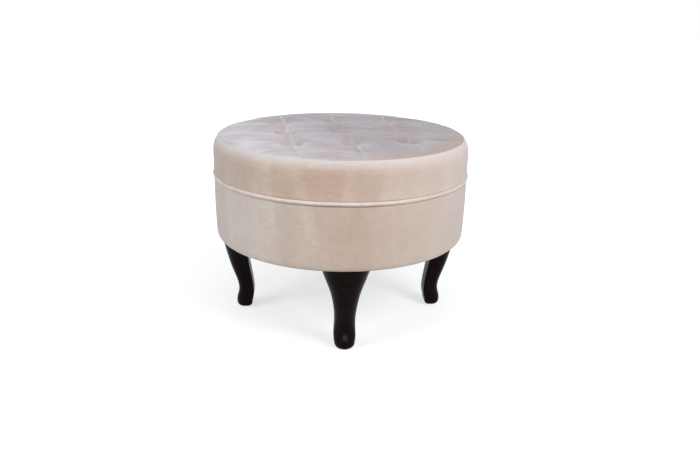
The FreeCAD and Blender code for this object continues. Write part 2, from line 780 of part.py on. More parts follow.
def make_board_screws(label, head_level, shaft_end, head_end):
    """Wood screws: a flat head in the board's recess and a shaft into the post."""
    body = new_body(label)
    sketch = new_sketch(body, "XZ_Plane", "screw", out=POST_CENTRE)
    draw_outline(sketch, [
        ("0", shaft_end, "xy"),
        ("sizes.screw_radius", shaft_end, "xy"),
        ("sizes.screw_radius", head_end, "xy"),
        ("sizes.screw_head_radius", head_end, "xy"),
        ("sizes.screw_head_radius", head_level, "xy"),
        ("0", head_level, "xy"),
    ])
    ring(body, [revolve(body, sketch)], "sizes.post_count")
    body.Placement = turned(POST_TURN)
    return body


def make_side_shell():
    """Bent hardboard round both boards and the posts."""
    body = turned_body("side_shell", box_corners(SHELL_INSIDE, SHELL_OUTSIDE, BASE_BOTTOM, DECK_TOP))
    sketch = new_sketch(body, "YZ_Plane", "brad_holes", lift=SHELL_OUTSIDE)
    for level in (BASE_BRAD_LEVEL, TOP_BRAD_LEVEL):
        draw_circle(sketch, "0", level, "(sizes.brad_radius + sizes.fit_gap)")
    bore = pocket(body, sketch, "(sizes.brad_length + sizes.fit_gap)")
    ring(body, [bore], "sizes.post_count")
    return body


def make_shell_brads():
    """Headless brads through the shell into the rims of both boards."""
    body = new_body("shell_brads")
    start = f"({SHELL_OUTSIDE} - sizes.brad_length)"
    sketch = new_sketch(body, "YZ_Plane", "brads", lift=start)
    for level in (BASE_BRAD_LEVEL, TOP_BRAD_LEVEL):
        draw_circle(sketch, "0", level, "sizes.brad_radius")
    ring(body, [pad(body, sketch, "sizes.brad_length")], "sizes.post_count")
    return body


# Sub-parts: underside and legs

def make_dust_cover():
    """Black cloth over the underside, open where the hanger bolts pass."""
    body = make_disc("dust_cover", DUST_RADIUS, LEG_TOP, "sizes.dust_wall")
    bolt = new_sketch(body, "XY_Plane", "bolt_hole", lift=HEM_BOTTOM)
    draw_circle(bolt, BOLT_CENTRE, "0", BOLT_HOLE)
    ring(body, [pocket(body, bolt, "sizes.dust_wall")], "sizes.leg_count")
    cut_staple_holes(body, LEG_TOP, "sizes.dust_wall")
    return body


def make_dust_cover_staples():
    """Staples through the dust cover and the hem into the base board."""
    body = new_body("dust_cover_staples")
    start = f"({STAPLE_CENTRE} - sizes.staple_depth / 2)"
    sketch = new_sketch(body, "YZ_Plane", "staple", lift=start)
    crown_low = f"({LEG_TOP} - sizes.staple_wire)"
    tips = f"({BASE_BOTTOM} + sizes.staple_leg - sizes.staple_gap)"
    outside = "(sizes.staple_width / 2)"
    inside = "(sizes.staple_width / 2 - sizes.staple_wire)"
    draw_outline(sketch, [
        (f"(-{outside})", crown_low, "xy"),
        (outside, crown_low, "xy"),
        (outside, tips, "xy"),
        (inside, tips, "xy"),
        (inside, LEG_TOP, "xy"),
        (f"(-{inside})", LEG_TOP, "xy"),
        (f"(-{inside})", tips, "xy"),
        (f"(-{outside})", tips, "xy"),
    ])
    ring(body, [pad(body, sketch, "sizes.staple_depth")], "sizes.staple_count")
    body.Placement = turned(STAPLE_TURN)
    return body


def draw_leg_section(sketch, outer_share, inner_share, half_share):
    """Section of a leg: generous outer corners, smaller inner ones."""
    outer = f"({LEG_CENTRE} + {outer_share} * sizes.leg_depth)"
    inner = f"({LEG_CENTRE} - {inner_share} * sizes.leg_depth)"
    half = f"({half_share} * sizes.leg_width)"
    depth = f"({outer_share + inner_share} * sizes.leg_depth)"
    outer_bend, inner_bend = [
        f"min({of_depth} * {depth}; {of_half} * {half})"
        for of_depth, of_half in (outer_corner_shares, inner_corner_shares)
    ]
    outer_x = f"({outer} - {outer_bend})"
    inner_x = f"({inner} + {inner_bend})"
    outer_y = f"({half} - {outer_bend})"
    inner_y = f"({half} - {inner_bend})"
    corners = [
        (outer, f"(-{outer_y})", "y"),
        (outer, outer_y, "xy"),
        (outer_x, half, "x"),
        (inner_x, half, "xy"),
        (inner, inner_y, "y"),
        (inner, f"(-{inner_y})", "xy"),
        (inner_x, f"(-{half})", "x"),
        (outer_x, f"(-{half})", "xy"),
    ]
    draw_outline(sketch, corners, {
        1: (outer_x, outer_y),
        3: (inner_x, inner_y),
        5: (inner_x, f"(-{inner_y})"),
        7: (outer_x, f"(-{outer_y})"),
    })


def make_leg(name, angle):
    """Cabriole leg: a loft from the rounded foot through the ankle to the wide knee under the seat."""
    body = new_body(f"leg_{name}")
    sections = []
    for number, (height, outer, inner, half) in enumerate(leg_section_shares):
        level = f"(sizes.glide_height + {height} * sizes.leg_height)"
        sketch = new_sketch(body, "XY_Plane", f"section_{number}", lift=level)
        draw_leg_section(sketch, outer, inner, half)
        sections.append(sketch)
    loft = body.newObject("PartDesign::AdditiveLoft", f"{body.Name}_loft")
    loft.Profile = sections[0]
    loft.Sections = sections[1:]
    body.Tip = loft
    bolt = new_sketch(body, "XY_Plane", "bolt_hole", lift=LEG_TOP)
    draw_circle(bolt, BOLT_CENTRE, "0", BOLT_HOLE)
    pocket(body, bolt, "(sizes.bolt_depth + sizes.fit_gap)")
    nail = new_sketch(body, "XY_Plane", "nail_hole", lift="sizes.glide_height")
    draw_circle(nail, LEG_CENTRE, "0", "(sizes.nail_radius + sizes.fit_gap)")
    pocket(body, nail, "(sizes.nail_length + sizes.fit_gap)", upward=True)
    body.Placement = FreeCAD.Placement(Vector(), FreeCAD.Rotation(UP, angle))
    return body


def make_glide(name, angle):
    """Round plastic glide under a foot, with a recess for the head of its nail."""
    body = new_body(f"glide_{name}")
    sketch = new_sketch(body, "XZ_Plane", "profile", out=LEG_CENTRE)
    head_radius = f"({NAIL_HEAD_RADIUS} + sizes.fit_gap)"
    shaft_radius = "(sizes.nail_radius + sizes.fit_gap)"
    shelf = "(sizes.glide_height / 2)"
    draw_outline(sketch, [
        (head_radius, "0", "xy"),
        ("sizes.glide_radius", "0", "xy"),
        ("sizes.glide_radius", "sizes.glide_height", "xy"),
        (shaft_radius, "sizes.glide_height", "xy"),
        (shaft_radius, shelf, "xy"),
        (head_radius, shelf, "xy"),
    ])
    revolve(body, sketch)
    body.Placement = FreeCAD.Placement(Vector(), FreeCAD.Rotation(UP, angle))
    return body


def make_glide_nails():
    """Nails through the glides, their heads sunk above the floor."""
    body = new_body("glide_nails")
    sketch = new_sketch(body, "XZ_Plane", "nail", out=LEG_CENTRE)
    shelf = "(sizes.glide_height / 2)"
    head = f"({shelf} - sizes.nail_radius / 2)"
    tip = "(sizes.glide_height + sizes.nail_length)"
    draw_outline(sketch, [
        ("0", head, "xy"),
        (NAIL_HEAD_RADIUS, head, "xy"),
        (NAIL_HEAD_RADIUS, shelf, "xy"),
        ("sizes.nail_radius", shelf, "xy"),
        ("sizes.nail_radius", f"({tip} - 2 * sizes.nail_radius)", "xy"),
        ("0", tip, "xy"),
    ])
    ring(body, [revolve(body, sketch)], "sizes.leg_count")
    return body


def make_hanger_bolts():
    """Bolts from the leg tops up through the tee nuts."""
    body = new_body("hanger_bolts")
    bottom = f"({LEG_TOP} - sizes.bolt_depth)"
    top = f"({BASE_TOP} + sizes.bolt_rise)"
    sketch = new_sketch(body, "XY_Plane", "bolt", lift=bottom)
    draw_circle(sketch, BOLT_CENTRE, "0", "sizes.bolt_radius")
    ring(body, [pad(body, sketch, f"({top} - {bottom})")], "sizes.leg_count")
    return body


def make_tee_nuts():
    """Tee nuts: a flange on the base board and a barrel down into it."""
    body = new_body("tee_nuts")
    sketch = new_sketch(body, "XZ_Plane", "nut", out=BOLT_CENTRE)
    barrel_bottom = f"({BASE_TOP} - sizes.nut_barrel_length)"
    flange_top = f"({BASE_TOP} + sizes.nut_flange_thickness)"
    draw_outline(sketch, [
        (BOLT_HOLE, barrel_bottom, "xy"),
        ("sizes.nut_barrel_radius", barrel_bottom, "xy"),
        ("sizes.nut_barrel_radius", BASE_TOP, "xy"),
        ("sizes.nut_flange_radius", BASE_TOP, "xy"),
        ("sizes.nut_flange_radius", flange_top, "xy"),
        (BOLT_HOLE, flange_top, "xy"),
    ])
    ring(body, [revolve(body, sketch)], "sizes.leg_count")
    return body


pieces = [
    make_top_panel_cover(),
    make_boxing_cover(),
    make_piping_cover(),
    make_piping_cord(),
    make_lower_cover(),
    make_top_wadding(),
    make_foam_pad(),
    make_side_wadding(),
    make_tuft_buttons(),
    make_tuft_twines(),
    make_twine_washers(),
    make_top_board(),
    make_base_board(),
    *make_posts(),
    make_board_screws(
        "top_board_screws",
        DECK_TOP,
        f"({DECK_TOP} - sizes.screw_length)",
        f"({DECK_TOP} - sizes.screw_head_height)",
    ),
    make_board_screws(
        "base_board_screws",
        BASE_BOTTOM,
        f"({BASE_BOTTOM} + sizes.screw_length)",
        f"({BASE_BOTTOM} + sizes.screw_head_height)",
    ),
    make_side_shell(),
    make_shell_brads(),
    make_dust_cover(),
    make_dust_cover_staples(),
    make_glide_nails(),
    make_hanger_bolts(),
    make_tee_nuts(),
]
for name, quarter in (("front", -1), ("right", 0), ("rear", 1), ("left", 2)):
    pieces.append(make_leg(name, quarter * QUARTER_TURN))
    pieces.append(make_glide(name, quarter * QUARTER_TURN))

doc.recompute()
for item in doc.Objects:
    if "Invalid" in item.State or "Error" in item.State:
        raise RuntimeError(f"{item.Label} failed: {item.State}")
for piece in pieces:
    if piece.Shape.isNull() or not piece.Shape.isValid():
        raise RuntimeError(f"{piece.Label} has no valid shape")
for piece in pieces:
    piece.Shape.exportStep(f"parts/{piece.Label}.step")
    print(piece.Label, len(piece.Shape.Solids), round(piece.Shape.Volume))
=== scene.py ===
import math

import bpy
import numpy as np
from mathutils import Matrix


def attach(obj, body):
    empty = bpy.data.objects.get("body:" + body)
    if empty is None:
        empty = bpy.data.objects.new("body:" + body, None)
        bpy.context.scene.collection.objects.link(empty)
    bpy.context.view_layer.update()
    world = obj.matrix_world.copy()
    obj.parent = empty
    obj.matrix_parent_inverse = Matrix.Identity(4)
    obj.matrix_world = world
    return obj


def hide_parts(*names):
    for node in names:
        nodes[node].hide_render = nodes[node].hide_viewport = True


# A round footstool in pale velvet: tufted top, two side bands with a piping ring between them, dark legs.
# Lengths are metres, angles are radians. Z is up, and the front leg points along -Y.

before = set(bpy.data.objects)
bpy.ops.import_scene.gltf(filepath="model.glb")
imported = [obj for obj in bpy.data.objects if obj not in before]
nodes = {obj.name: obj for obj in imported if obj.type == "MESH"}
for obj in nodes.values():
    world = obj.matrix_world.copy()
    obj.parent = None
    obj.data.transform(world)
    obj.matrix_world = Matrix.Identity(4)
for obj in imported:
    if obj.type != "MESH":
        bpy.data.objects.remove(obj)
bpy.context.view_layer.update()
scene = bpy.context.scene

# Sizes of the seat, as in the solids
SEAT_RADIUS = 0.274
RIDGE_RADIUS = 0.2639
RIDGE_LEVEL = 0.4011
CROWN_TOP = 0.4076
PLATEAU_RADIUS = 0.190
SHOULDER_LEVEL = 0.3716
SHOULDER_RADIUS = 0.048
DECK_TOP = 0.3216
UNDERSIDE = 0.1860

# Velvet: its wall, where the bands end, and how the top's rim is held and rolled down into the ridge seam
VELVET_WALL = 0.0013
UPPER_BAND_START = 0.3259
RIDGE_ROLL = 0.4005
LOWER_BAND_END = 0.3173
RIM_INSET = 0.0010
RIM_ROLL = 0.0035
RIM_DROP = 0.0007
RIM_HELD = 0.004

# Points: round a band, and along each side of the top's grid, simulated coarsely and shown finely
BAND_STEPS = 360
TOP_COARSE = 111
TOP_FINE = 2 * TOP_COARSE - 1

# Tufts: a square grid of nine, turned about the middle of the seat
TUFT_PITCH = 0.120
TUFT_TURN = math.radians(6.2)
TUFT_DEPTH = 0.012
TUFT_MOUTH = 0.034
TUFT_SEAT = 0.0115
TWINE_HOLE = 0.0065
BUTTON_RADIUS = 0.011
BUTTON_HEIGHT = 0.006
BUTTON_FOLD = 0.00022

# Soft valleys along the rows and columns of tufts, and the pleats that lie in the columns
ROW_CREASE = 0.0016
COLUMN_CREASE = 0.0026
PLEAT_DEPTH = 0.0020
PLEAT_EDGE = 0.0007
PLEAT_REACH = 0.056
HOLLOW_SOFT_SIDE = 0.0080
HOLLOW_STEEP_SIDE = 0.0026
EDGE_PLACE = 0.0048
EDGE_WIDTH = 0.0024

# Piping
PIPING_CENTRE = 0.2726
PIPING_RADIUS = 0.00425
PIPING_BORE = 0.00325
CORD_RADIUS = 0.00235
STRAND_HEIGHT = 0.00055
STRAND_TURNS = 144

# Padding: radii of the flat part, depths of the layers, the gap between them, and the relief left in the foam
WADDING_FLAT = 0.2585
FOAM_FLAT = 0.2500
FLAT_SHARE = 0.78
WADDING_SINK = 0.0016
FOAM_SINK = 0.0116
FOAM_RELIEF = 0.75
LAYER_GAP = 0.0002

# Legs
LEG_FOOT = 0.0025
LEG_HEIGHT = 0.1827
LEG_CENTRE = 0.220
LEG_DEPTH = 0.056
LEG_WIDTH = 0.104
FOOT_SINK = 0.0017
FOOT_ROUNDING = 0.0010
GLIDE_RECESS = 0.0104

# Dust sheet
DUST_SHEET_RADIUS = 0.2526
DUST_SHEET_LEVEL = 0.1859
DUST_SHEET_WALL = 0.0005
DUST_SHEET_SAG = 0.0022
DUST_SHEET_PUCKER = 0.00018
DUST_SHEET_STEPS = 97

# Velvet's noises, in repeats a metre: single hairs, tufts of pile, mottling and slow clouds
HAIR_SCALE = 1500.0
PILE_SCALE = 420.0
MOTTLE_SCALE = 130.0
CLOUD_SCALE = 18.0

# What the lamps above the floor point at
SEAT_MIDDLE = (0, 0, 0.3)


# Meshes

def add_piece(name, points, quads, material, triangles=(), outward=None):
    """Object from points and faces, turned to face outwards, or an open sheet turned to a given direction."""
    points = np.asarray(points, float).reshape(-1, 3)
    quads = np.asarray(quads, int).reshape(-1, 4)
    triangles = np.asarray(triangles, int).reshape(-1, 3)
    halves = np.vstack([quads[:, [0, 1, 2]], quads[:, [0, 2, 3]], triangles])
    first, second, third = (points[halves[:, corner]] for corner in range(3))
    normals = np.cross(second - first, third - first)
    facing = first if outward is None else np.asarray(outward, float)
    if (normals * facing).sum() < 0:
        quads, triangles = quads[:, ::-1], triangles[:, ::-1]
    sizes = np.concatenate([np.full(len(quads), 4), np.full(len(triangles), 3)])
    mesh = bpy.data.meshes.new(name)
    mesh.vertices.add(len(points))
    mesh.vertices.foreach_set("co", points.astype(np.float32).ravel())
    mesh.loops.add(int(sizes.sum()))
    corners = np.concatenate([quads.ravel(), triangles.ravel()])
    mesh.loops.foreach_set("vertex_index", corners.astype(np.int32))
    mesh.polygons.add(len(sizes))
    mesh.polygons.foreach_set("loop_start", (np.cumsum(sizes) - sizes).astype(np.int32))
    mesh.polygons.foreach_set("use_smooth", np.ones(len(sizes), bool))
    mesh.update(calc_edges=True)
    mesh.materials.append(material)
    piece = bpy.data.objects.new(name, mesh)
    scene.collection.objects.link(piece)
    return piece


def grid_faces(rows, columns, wrap_rows=False, wrap_columns=True):
    """Quads of a grid of points in row order, joined end to end where it wraps."""
    down = np.arange(rows if wrap_rows else rows - 1)[:, None]
    along = np.arange(columns if wrap_columns else columns - 1)[None, :]
    below = (down + 1) % rows
    beside = (along + 1) % columns
    turns = ((down, along), (below, along), (below, beside), (down, beside))
    corners = [np.broadcast_to(row * columns + column, (down.size, along.size)) for row, column in turns]
    return np.stack(corners, -1).reshape(-1, 4)


def natural_curve(at, places, values):
    """Natural cubic spline through the rows of values at the given places, read at other places."""
    step = np.diff(places)
    count = len(places)
    slope = np.diff(values, axis=0) / step[:, None]
    system = np.eye(count)
    right = np.zeros_like(values)
    for row in range(1, count - 1):
        system[row, row - 1:row + 2] = step[row - 1], 2 * (step[row - 1] + step[row]), step[row]
        right[row] = 6 * (slope[row] - slope[row - 1])
    bend = np.linalg.solve(system, right)
    span = np.clip(np.searchsorted(places, at) - 1, 0, count - 2)
    width = step[span][:, None]
    low, high = (places[span + 1] - at)[:, None] / width, (at - places[span])[:, None] / width
    return (
        low * values[span] + high * values[span + 1]
        + ((low ** 3 - low) * bend[span] + (high ** 3 - high) * bend[span + 1]) * width ** 2 / 6
    )


def smooth_line(points, count):
    """Catmull-Rom line through the points, then points at even distances along it."""
    points = np.asarray(points, float)
    ends = np.vstack([2 * points[0] - points[1], points, 2 * points[-1] - points[-2]])
    place = np.linspace(0, len(points) - 1, count * 8)
    span = np.minimum(place.astype(int), len(points) - 2)
    t = (place - span)[:, None]
    before, start, finish, after = (ends[span + step] for step in range(4))
    line = 0.5 * (
        2 * start
        + (finish - before) * t
        + (2 * before - 5 * start + 4 * finish - after) * t ** 2
        + (3 * start - before - 3 * finish + after) * t ** 3
    )
    along = np.concatenate([[0], np.cumsum(np.linalg.norm(np.diff(line, axis=0), axis=1))])
    at = np.linspace(0, along[-1], count)
    return np.stack([np.interp(at, along, line[:, axis]) for axis in range(line.shape[1])], 1)


def shell_loop(outer, wall):
    """Closed loop round a wall: the outer line, then that line moved inwards by the wall and walked back."""
    slope = np.gradient(outer, axis=0)
    slope /= np.linalg.norm(slope, axis=1)[:, None]
    inner = outer + wall * np.stack([-slope[:, 1], slope[:, 0]], 1)
    return np.vstack([outer, inner[::-1]])


def waves(angle, table):
    """Sum of cosines round the seat; each row of the table is how many, how high and where it starts."""
    return sum(height * np.cos(count * angle + start) for count, height, start in table)


def turned(x, y, angle):
    """Places turned about Z by an angle."""
    cos, sin = math.cos(angle), math.sin(angle)
    return x * cos - y * sin, x * sin + y * cos


def round_angles(count):
    """Angles at even steps round Z, as one row."""
    return np.linspace(0, 2 * math.pi, count, endpoint=False)[None, :]


def turned_points(loop, angles, outwards=0.0, upwards=0.0):
    """Grid of points: each point of the loop (radius, level) carried round Z, moved by the given arrays."""
    radius = loop[:, 0][:, None] + outwards
    level = loop[:, 1][:, None] + upwards + 0 * angles
    return np.stack([radius * np.cos(angles), radius * np.sin(angles), level], -1)


def turned_piece(name, loop, angles, material, outwards=0.0, upwards=0.0):
    """Ring with a closed section."""
    points = turned_points(loop, angles, outwards, upwards)
    return add_piece(name, points, grid_faces(len(loop), angles.size, wrap_rows=True), material)


def ring_body(rings):
    """Points, quads and end fans of a body through rings of points (rows, around, 3), both ends closed."""
    rows, around = rings.shape[:2]
    points = np.vstack([rings.reshape(-1, 3), rings[[0, -1]].mean(1)])
    ring = np.arange(around)
    beside = (ring + 1) % around
    last = (rows - 1) * around
    fans = np.vstack([
        np.stack([beside, ring, np.full(around, rows * around)], 1),
        np.stack([last + ring, last + beside, np.full(around, rows * around + 1)], 1),
    ])
    return points, grid_faces(rows, around)[:, ::-1], fans


def joined(name, parts, material):
    """One object from several bodies of points, quads and triangles."""
    starts = np.cumsum([0] + [len(points) for points, _, _ in parts])
    quads = np.vstack([part[1] + start for part, start in zip(parts, starts)])
    triangles = np.vstack([part[2] + start for part, start in zip(parts, starts)])
    return add_piece(name, np.vstack([part[0] for part in parts]), quads, material, triangles=triangles)


def disc_grid(count, radius):
    """Square grid bent onto a disc, where squares about the middle become circles: gives its x and y."""
    a, b = np.meshgrid(np.linspace(-1, 1, count), np.linspace(-1, 1, count), indexing="ij")
    wide = np.abs(a) > np.abs(b)
    reach = np.where(wide, a, b)
    whole = np.where(reach == 0, 1.0, reach)
    turn = np.where(wide, math.pi / 4 * b / whole, math.pi / 2 - math.pi / 4 * a / whole)
    return radius * reach * np.cos(turn), radius * reach * np.sin(turn)


# Form of the tufted top

def step_up(values, start, finish):
    """Smooth step from 0 at start to 1 at finish."""
    t = np.clip((values - start) / (finish - start), 0, 1)
    return t * t * (3 - 2 * t)


def tuft_places():
    """Middles of the nine tufts: three rows and columns a pitch apart, turned about the middle."""
    steps = [(row, column) for row in (-1, 0, 1) for column in (-1, 0, 1)]
    return [turned(row * TUFT_PITCH, column * TUFT_PITCH, TUFT_TURN) for row, column in steps]


def tuft_distance(x, y):
    """Distance to the nearest tuft's middle."""
    return np.min([np.hypot(x - place_x, y - place_y) for place_x, place_y in tuft_places()], axis=0)


def crown_level(x, y):
    """Untufted crown: flat to the plateau's edge, then an arc that falls to the ridge."""
    run = RIDGE_RADIUS - PLATEAU_RADIUS
    fall = CROWN_TOP - RIDGE_LEVEL
    out = np.clip(np.hypot(x, y) - PLATEAU_RADIUS, 0, run)
    bend = (run ** 2 + fall ** 2) / (2 * fall)
    return CROWN_TOP - bend + np.sqrt(bend ** 2 - out ** 2)


def crease_reach(along, across):
    """Nearest line of tufts (-1, 0 or 1), distance past it, pitches along it, and distance to a tuft on it.

    Past the last tuft the distance counts for less, so that a pleat runs on towards the rim.
    """
    line = np.clip(np.round(across / TUFT_PITCH), -1, 1)
    step = np.abs(along) / TUFT_PITCH
    between = np.abs(step - np.round(step)) * TUFT_PITCH
    from_tuft = np.where(step <= 1, between, 0.40 * (step - 1) * TUFT_PITCH)
    return line, across - line * TUFT_PITCH, step, from_tuft


def crease_depth(along, across, depth):
    """Depth of the soft valleys between the tufts, which fade towards the rim."""
    _, away, step, _ = crease_reach(along, across)
    between = np.abs(step - np.round(step)) * 2
    inside = 1 - 0.62 * step_up(between, 0.1, 1.0)
    outside = np.exp(-np.clip(step - 1, 0, None) / 0.6)
    reach = np.where(step <= 1, inside, outside)
    return depth * reach * np.clip(1 - np.abs(away) / (TUFT_PITCH / 2), 0, None) ** 2.4


def pleat_shares(along, across):
    """Shares of a pleat's hollow and raised edge, 0 to 1: it falls softly, then folds over to the edge."""
    line, away, step, from_tuft = crease_reach(along, across)
    inner = np.where(line < 0, 1.0, np.where(line > 0, 0.7, 0.2))
    uneven = 0.8 + 0.2 * np.sin(along * 61.0 + 2.7 * line + 0.9)
    strength = np.where(step <= 1, inner, 0.7) * uneven * np.exp(-((from_tuft / PLEAT_REACH) ** 2))
    strength = strength * np.clip((0.262 - np.hypot(along, across)) / 0.03, 0, 1)
    bend = away - 0.0016 * np.sin(along * 70.0 + 2.0 * line)
    hollow = np.exp(-((bend / np.where(bend < 0, HOLLOW_SOFT_SIDE, HOLLOW_STEEP_SIDE)) ** 2))
    edge = np.exp(-(((bend - EDGE_PLACE) / EDGE_WIDTH) ** 2))
    return strength * hollow, strength * edge


def tuft_funnel(x, y):
    """Depth of the nearest tuft: flat under the button, then a long rolled slope up to the mouth."""
    share = np.clip((tuft_distance(x, y) - TUFT_SEAT) / (TUFT_MOUTH - TUFT_SEAT), 0, 1)
    return TUFT_DEPTH * (1 - share) ** 2.2


def tuft_grid(x, y):
    """Places along the rows and along the columns of the tufts."""
    return turned(x, y, -TUFT_TURN)


def top_level(x, y):
    """Level of the velvet's upper side: the crown less the creases and tufts, joined smoothly."""
    u, v = tuft_grid(x, y)
    rows = crease_depth(u, v, ROW_CREASE)
    hollow, edge = pleat_shares(v, u)
    columns = crease_depth(v, u, COLUMN_CREASE) + PLEAT_DEPTH * hollow
    creases = (rows ** 3 + columns ** 3 + 1e-15) ** (1 / 3)
    funnel = tuft_funnel(x, y)
    sunk = np.minimum((creases ** 2.6 + funnel ** 2.6 + 1e-15) ** (1 / 2.6), TUFT_DEPTH)
    return crown_level(x, y) - sunk + PLEAT_EDGE * edge * (1 - sunk / TUFT_DEPTH)


# Shader tools

def linked(tree, target, value):
    """Set an input to a value, or link it where the value is a socket."""
    if isinstance(value, bpy.types.NodeSocket):
        tree.links.new(value, target)
    else:
        target.default_value = value


def node(tree, kind, inputs=None, **settings):
    """New node; inputs takes numbers, colours or the sockets to link."""
    made = tree.nodes.new(kind)
    for name, setting in settings.items():
        setattr(made, name, setting)
    for key, value in (inputs or {}).items():
        linked(tree, made.inputs[key], value)
    return made


def shader_group(name, inputs, outputs):
    """Empty node group with its sockets; returns it with its input and output nodes."""
    group = bpy.data.node_groups.new(name, "ShaderNodeTree")
    for way, sockets in (("INPUT", inputs), ("OUTPUT", outputs)):
        for socket, (kind, default) in sockets.items():
            made = group.interface.new_socket(socket, in_out=way, socket_type=f"NodeSocket{kind}")
            if default is not None:
                made.default_value = default
    return group, group.nodes.new("NodeGroupInput"), group.nodes.new("NodeGroupOutput")


def place_group(tree, group, inputs):
    """Group placed in a tree with its inputs set or linked; returns its outputs."""
    made = node(tree, "ShaderNodeGroup", node_tree=group)
    for key, value in inputs.items():
        linked(tree, made.inputs[key], value)
    return made.outputs


def math_node(tree, operation, first, second=0.0, third=0.0, clamp=False):
    """Result of one sum on up to three values or sockets."""
    values = {0: first, 1: second, 2: third}
    return node(tree, "ShaderNodeMath", values, operation=operation, use_clamp=clamp).outputs[0]


def vector_node(tree, operation, first, second=(0, 0, 0), output="Vector"):
    """Result of one sum on one or two vectors."""
    made = node(tree, "ShaderNodeVectorMath", {0: first, 1: second}, operation=operation)
    return made.outputs[output]


def mixed(tree, share, first, second, blend="MIX"):
    """First colour with a share of the second laid over it."""
    made = node(tree, "ShaderNodeMix", data_type="RGBA", blend_type=blend)
    for key, value in ((0, share), (6, first), (7, second)):
        linked(tree, made.inputs[key], value)
    return made.outputs[2]


def noise(tree, place, scale, detail=3.0, roughness=0.55, distortion=0.0):
    """Cloudy noise from 0 to 1 at a place."""
    return node(
        tree,
        "ShaderNodeTexNoise",
        {"Vector": place, "Scale": scale, "Detail": detail, "Roughness": roughness, "Distortion": distortion},
    ).outputs["Fac"]


def stretched(tree, stretch, turn=0.0):
    """Object coordinates, turned about Z and scaled along each axis."""
    place = node(tree, "ShaderNodeTexCoord").outputs["Object"]
    return node(
        tree, "ShaderNodeMapping", {"Vector": place, "Rotation": (0, 0, turn), "Scale": stretch}
    ).outputs["Vector"]


def spread(tree, value, low, high, to_low=0.0, to_high=1.0):
    """Value carried from one range onto another and held inside it."""
    return node(
        tree,
        "ShaderNodeMapRange",
        {"Value": value, "From Min": low, "From Max": high, "To Min": to_low, "To Max": to_high},
    ).outputs["Result"]


def bumped(tree, shader, height, strength, distance):
    """Fine relief of a height on a shader's normal."""
    bump = node(tree, "ShaderNodeBump", {"Height": height, "Strength": strength, "Distance": distance})
    tree.links.new(bump.outputs[0], shader.inputs["Normal"])


def new_material(name, **constants):
    """Material with a Principled shader whose constants are set on its own sockets."""
    material = bpy.data.materials.new(name)
    material.use_nodes = True
    tree = material.node_tree
    tree.nodes.clear()
    output = node(tree, "ShaderNodeOutputMaterial")
    shader = node(tree, "ShaderNodeBsdfPrincipled")
    tree.links.new(shader.outputs[0], output.inputs[0])
    for socket, value in constants.items():
        shader.inputs[socket.replace("_", " ")].default_value = value
    return material, tree, shader


def linear(*color):
    """Colour as written in a picture (0 to 255) to the linear values that shaders take."""
    parts = [value / 255 for value in color]
    made = [part / 12.92 if part <= 0.04045 else ((part + 0.055) / 1.055) ** 2.4 for part in parts]
    return (*made, 1.0)


# Velvet

def make_nap_group():
    """Velvet nap: patches where the pile lies the other way, streaks along the brushing, and its grain.

    Above a ragged level the crest's colour takes over: a painted highlight on the shoulder.
    """
    group, given, out = shader_group(
        "velvet_nap",
        {
            "Ground": ("Color", None),
            "Brushed": ("Color", None),
            "Ruffled": ("Color", None),
            "Crest": ("Color", None),
            "Crest Start": ("Float", 1.0),
            "Crest End": ("Float", 2.0),
            "Patches": ("Float", 9.0),
            "Place": ("Vector", None),
        },
        {"Color": ("Color", None), "Roughness": ("Float", None), "Height": ("Float", None)},
    )
    place = given.outputs["Place"]
    whole = node(group, "ShaderNodeTexCoord").outputs["Object"]
    finer = math_node(group, "MULTIPLY", given.outputs["Patches"], 4.0)
    tall = vector_node(group, "MULTIPLY", whole, (1, 1, 0.4))
    patches = spread(group, noise(group, tall, given.outputs["Patches"], 2.5, 0.5, 0.6), 0.38, 0.66)
    streaks = spread(group, noise(group, place, finer, 4.0, 0.6, 0.3), 0.36, 0.66)
    grain = noise(group, whole, HAIR_SCALE, 2.0, 0.6)
    pile = noise(group, whole, PILE_SCALE, 2.0, 0.5)
    brushed_share = math_node(group, "MULTIPLY", patches, 0.72, clamp=True)
    brushed = mixed(group, brushed_share, given.outputs["Ground"], given.outputs["Brushed"])
    ruffled_share = math_node(group, "MULTIPLY", streaks, 0.32, clamp=True)
    ruffled = mixed(group, ruffled_share, brushed, given.outputs["Ruffled"])
    # Painted highlight: above a ragged level the colour turns to the crest's, lighter and greyer.
    level = node(group, "ShaderNodeSeparateXYZ", {0: whole}).outputs["Z"]
    ragged = math_node(group, "MULTIPLY_ADD", math_node(group, "SUBTRACT", streaks, 0.5), 0.006, level)
    crest_highlight = node(group, "ShaderNodeMapRange", {
        "Value": ragged, "From Min": given.outputs["Crest Start"], "From Max": given.outputs["Crest End"],
    }, interpolation_type="SMOOTHSTEP").outputs["Result"]
    with_crest_highlight = mixed(group, crest_highlight, ruffled, given.outputs["Crest"])
    mottle = spread(group, noise(group, place, MOTTLE_SCALE, 3.0, 0.65), 0.3, 0.7, 0.955, 1.045)
    speckle = math_node(group, "MULTIPLY", spread(group, grain, 0.3, 0.7, 0.95, 1.05), mottle)
    color = vector_node(group, "MULTIPLY", with_crest_highlight, speckle)
    height = math_node(group, "MULTIPLY_ADD", patches, 0.35, math_node(group, "MULTIPLY", grain, 0.3))
    height = math_node(group, "MULTIPLY_ADD", pile, 0.35, height)
    group.links.new(color, out.inputs["Color"])
    group.links.new(spread(group, streaks, 0.0, 1.0, 0.78, 0.92), out.inputs["Roughness"])
    group.links.new(height, out.inputs["Height"])
    return group


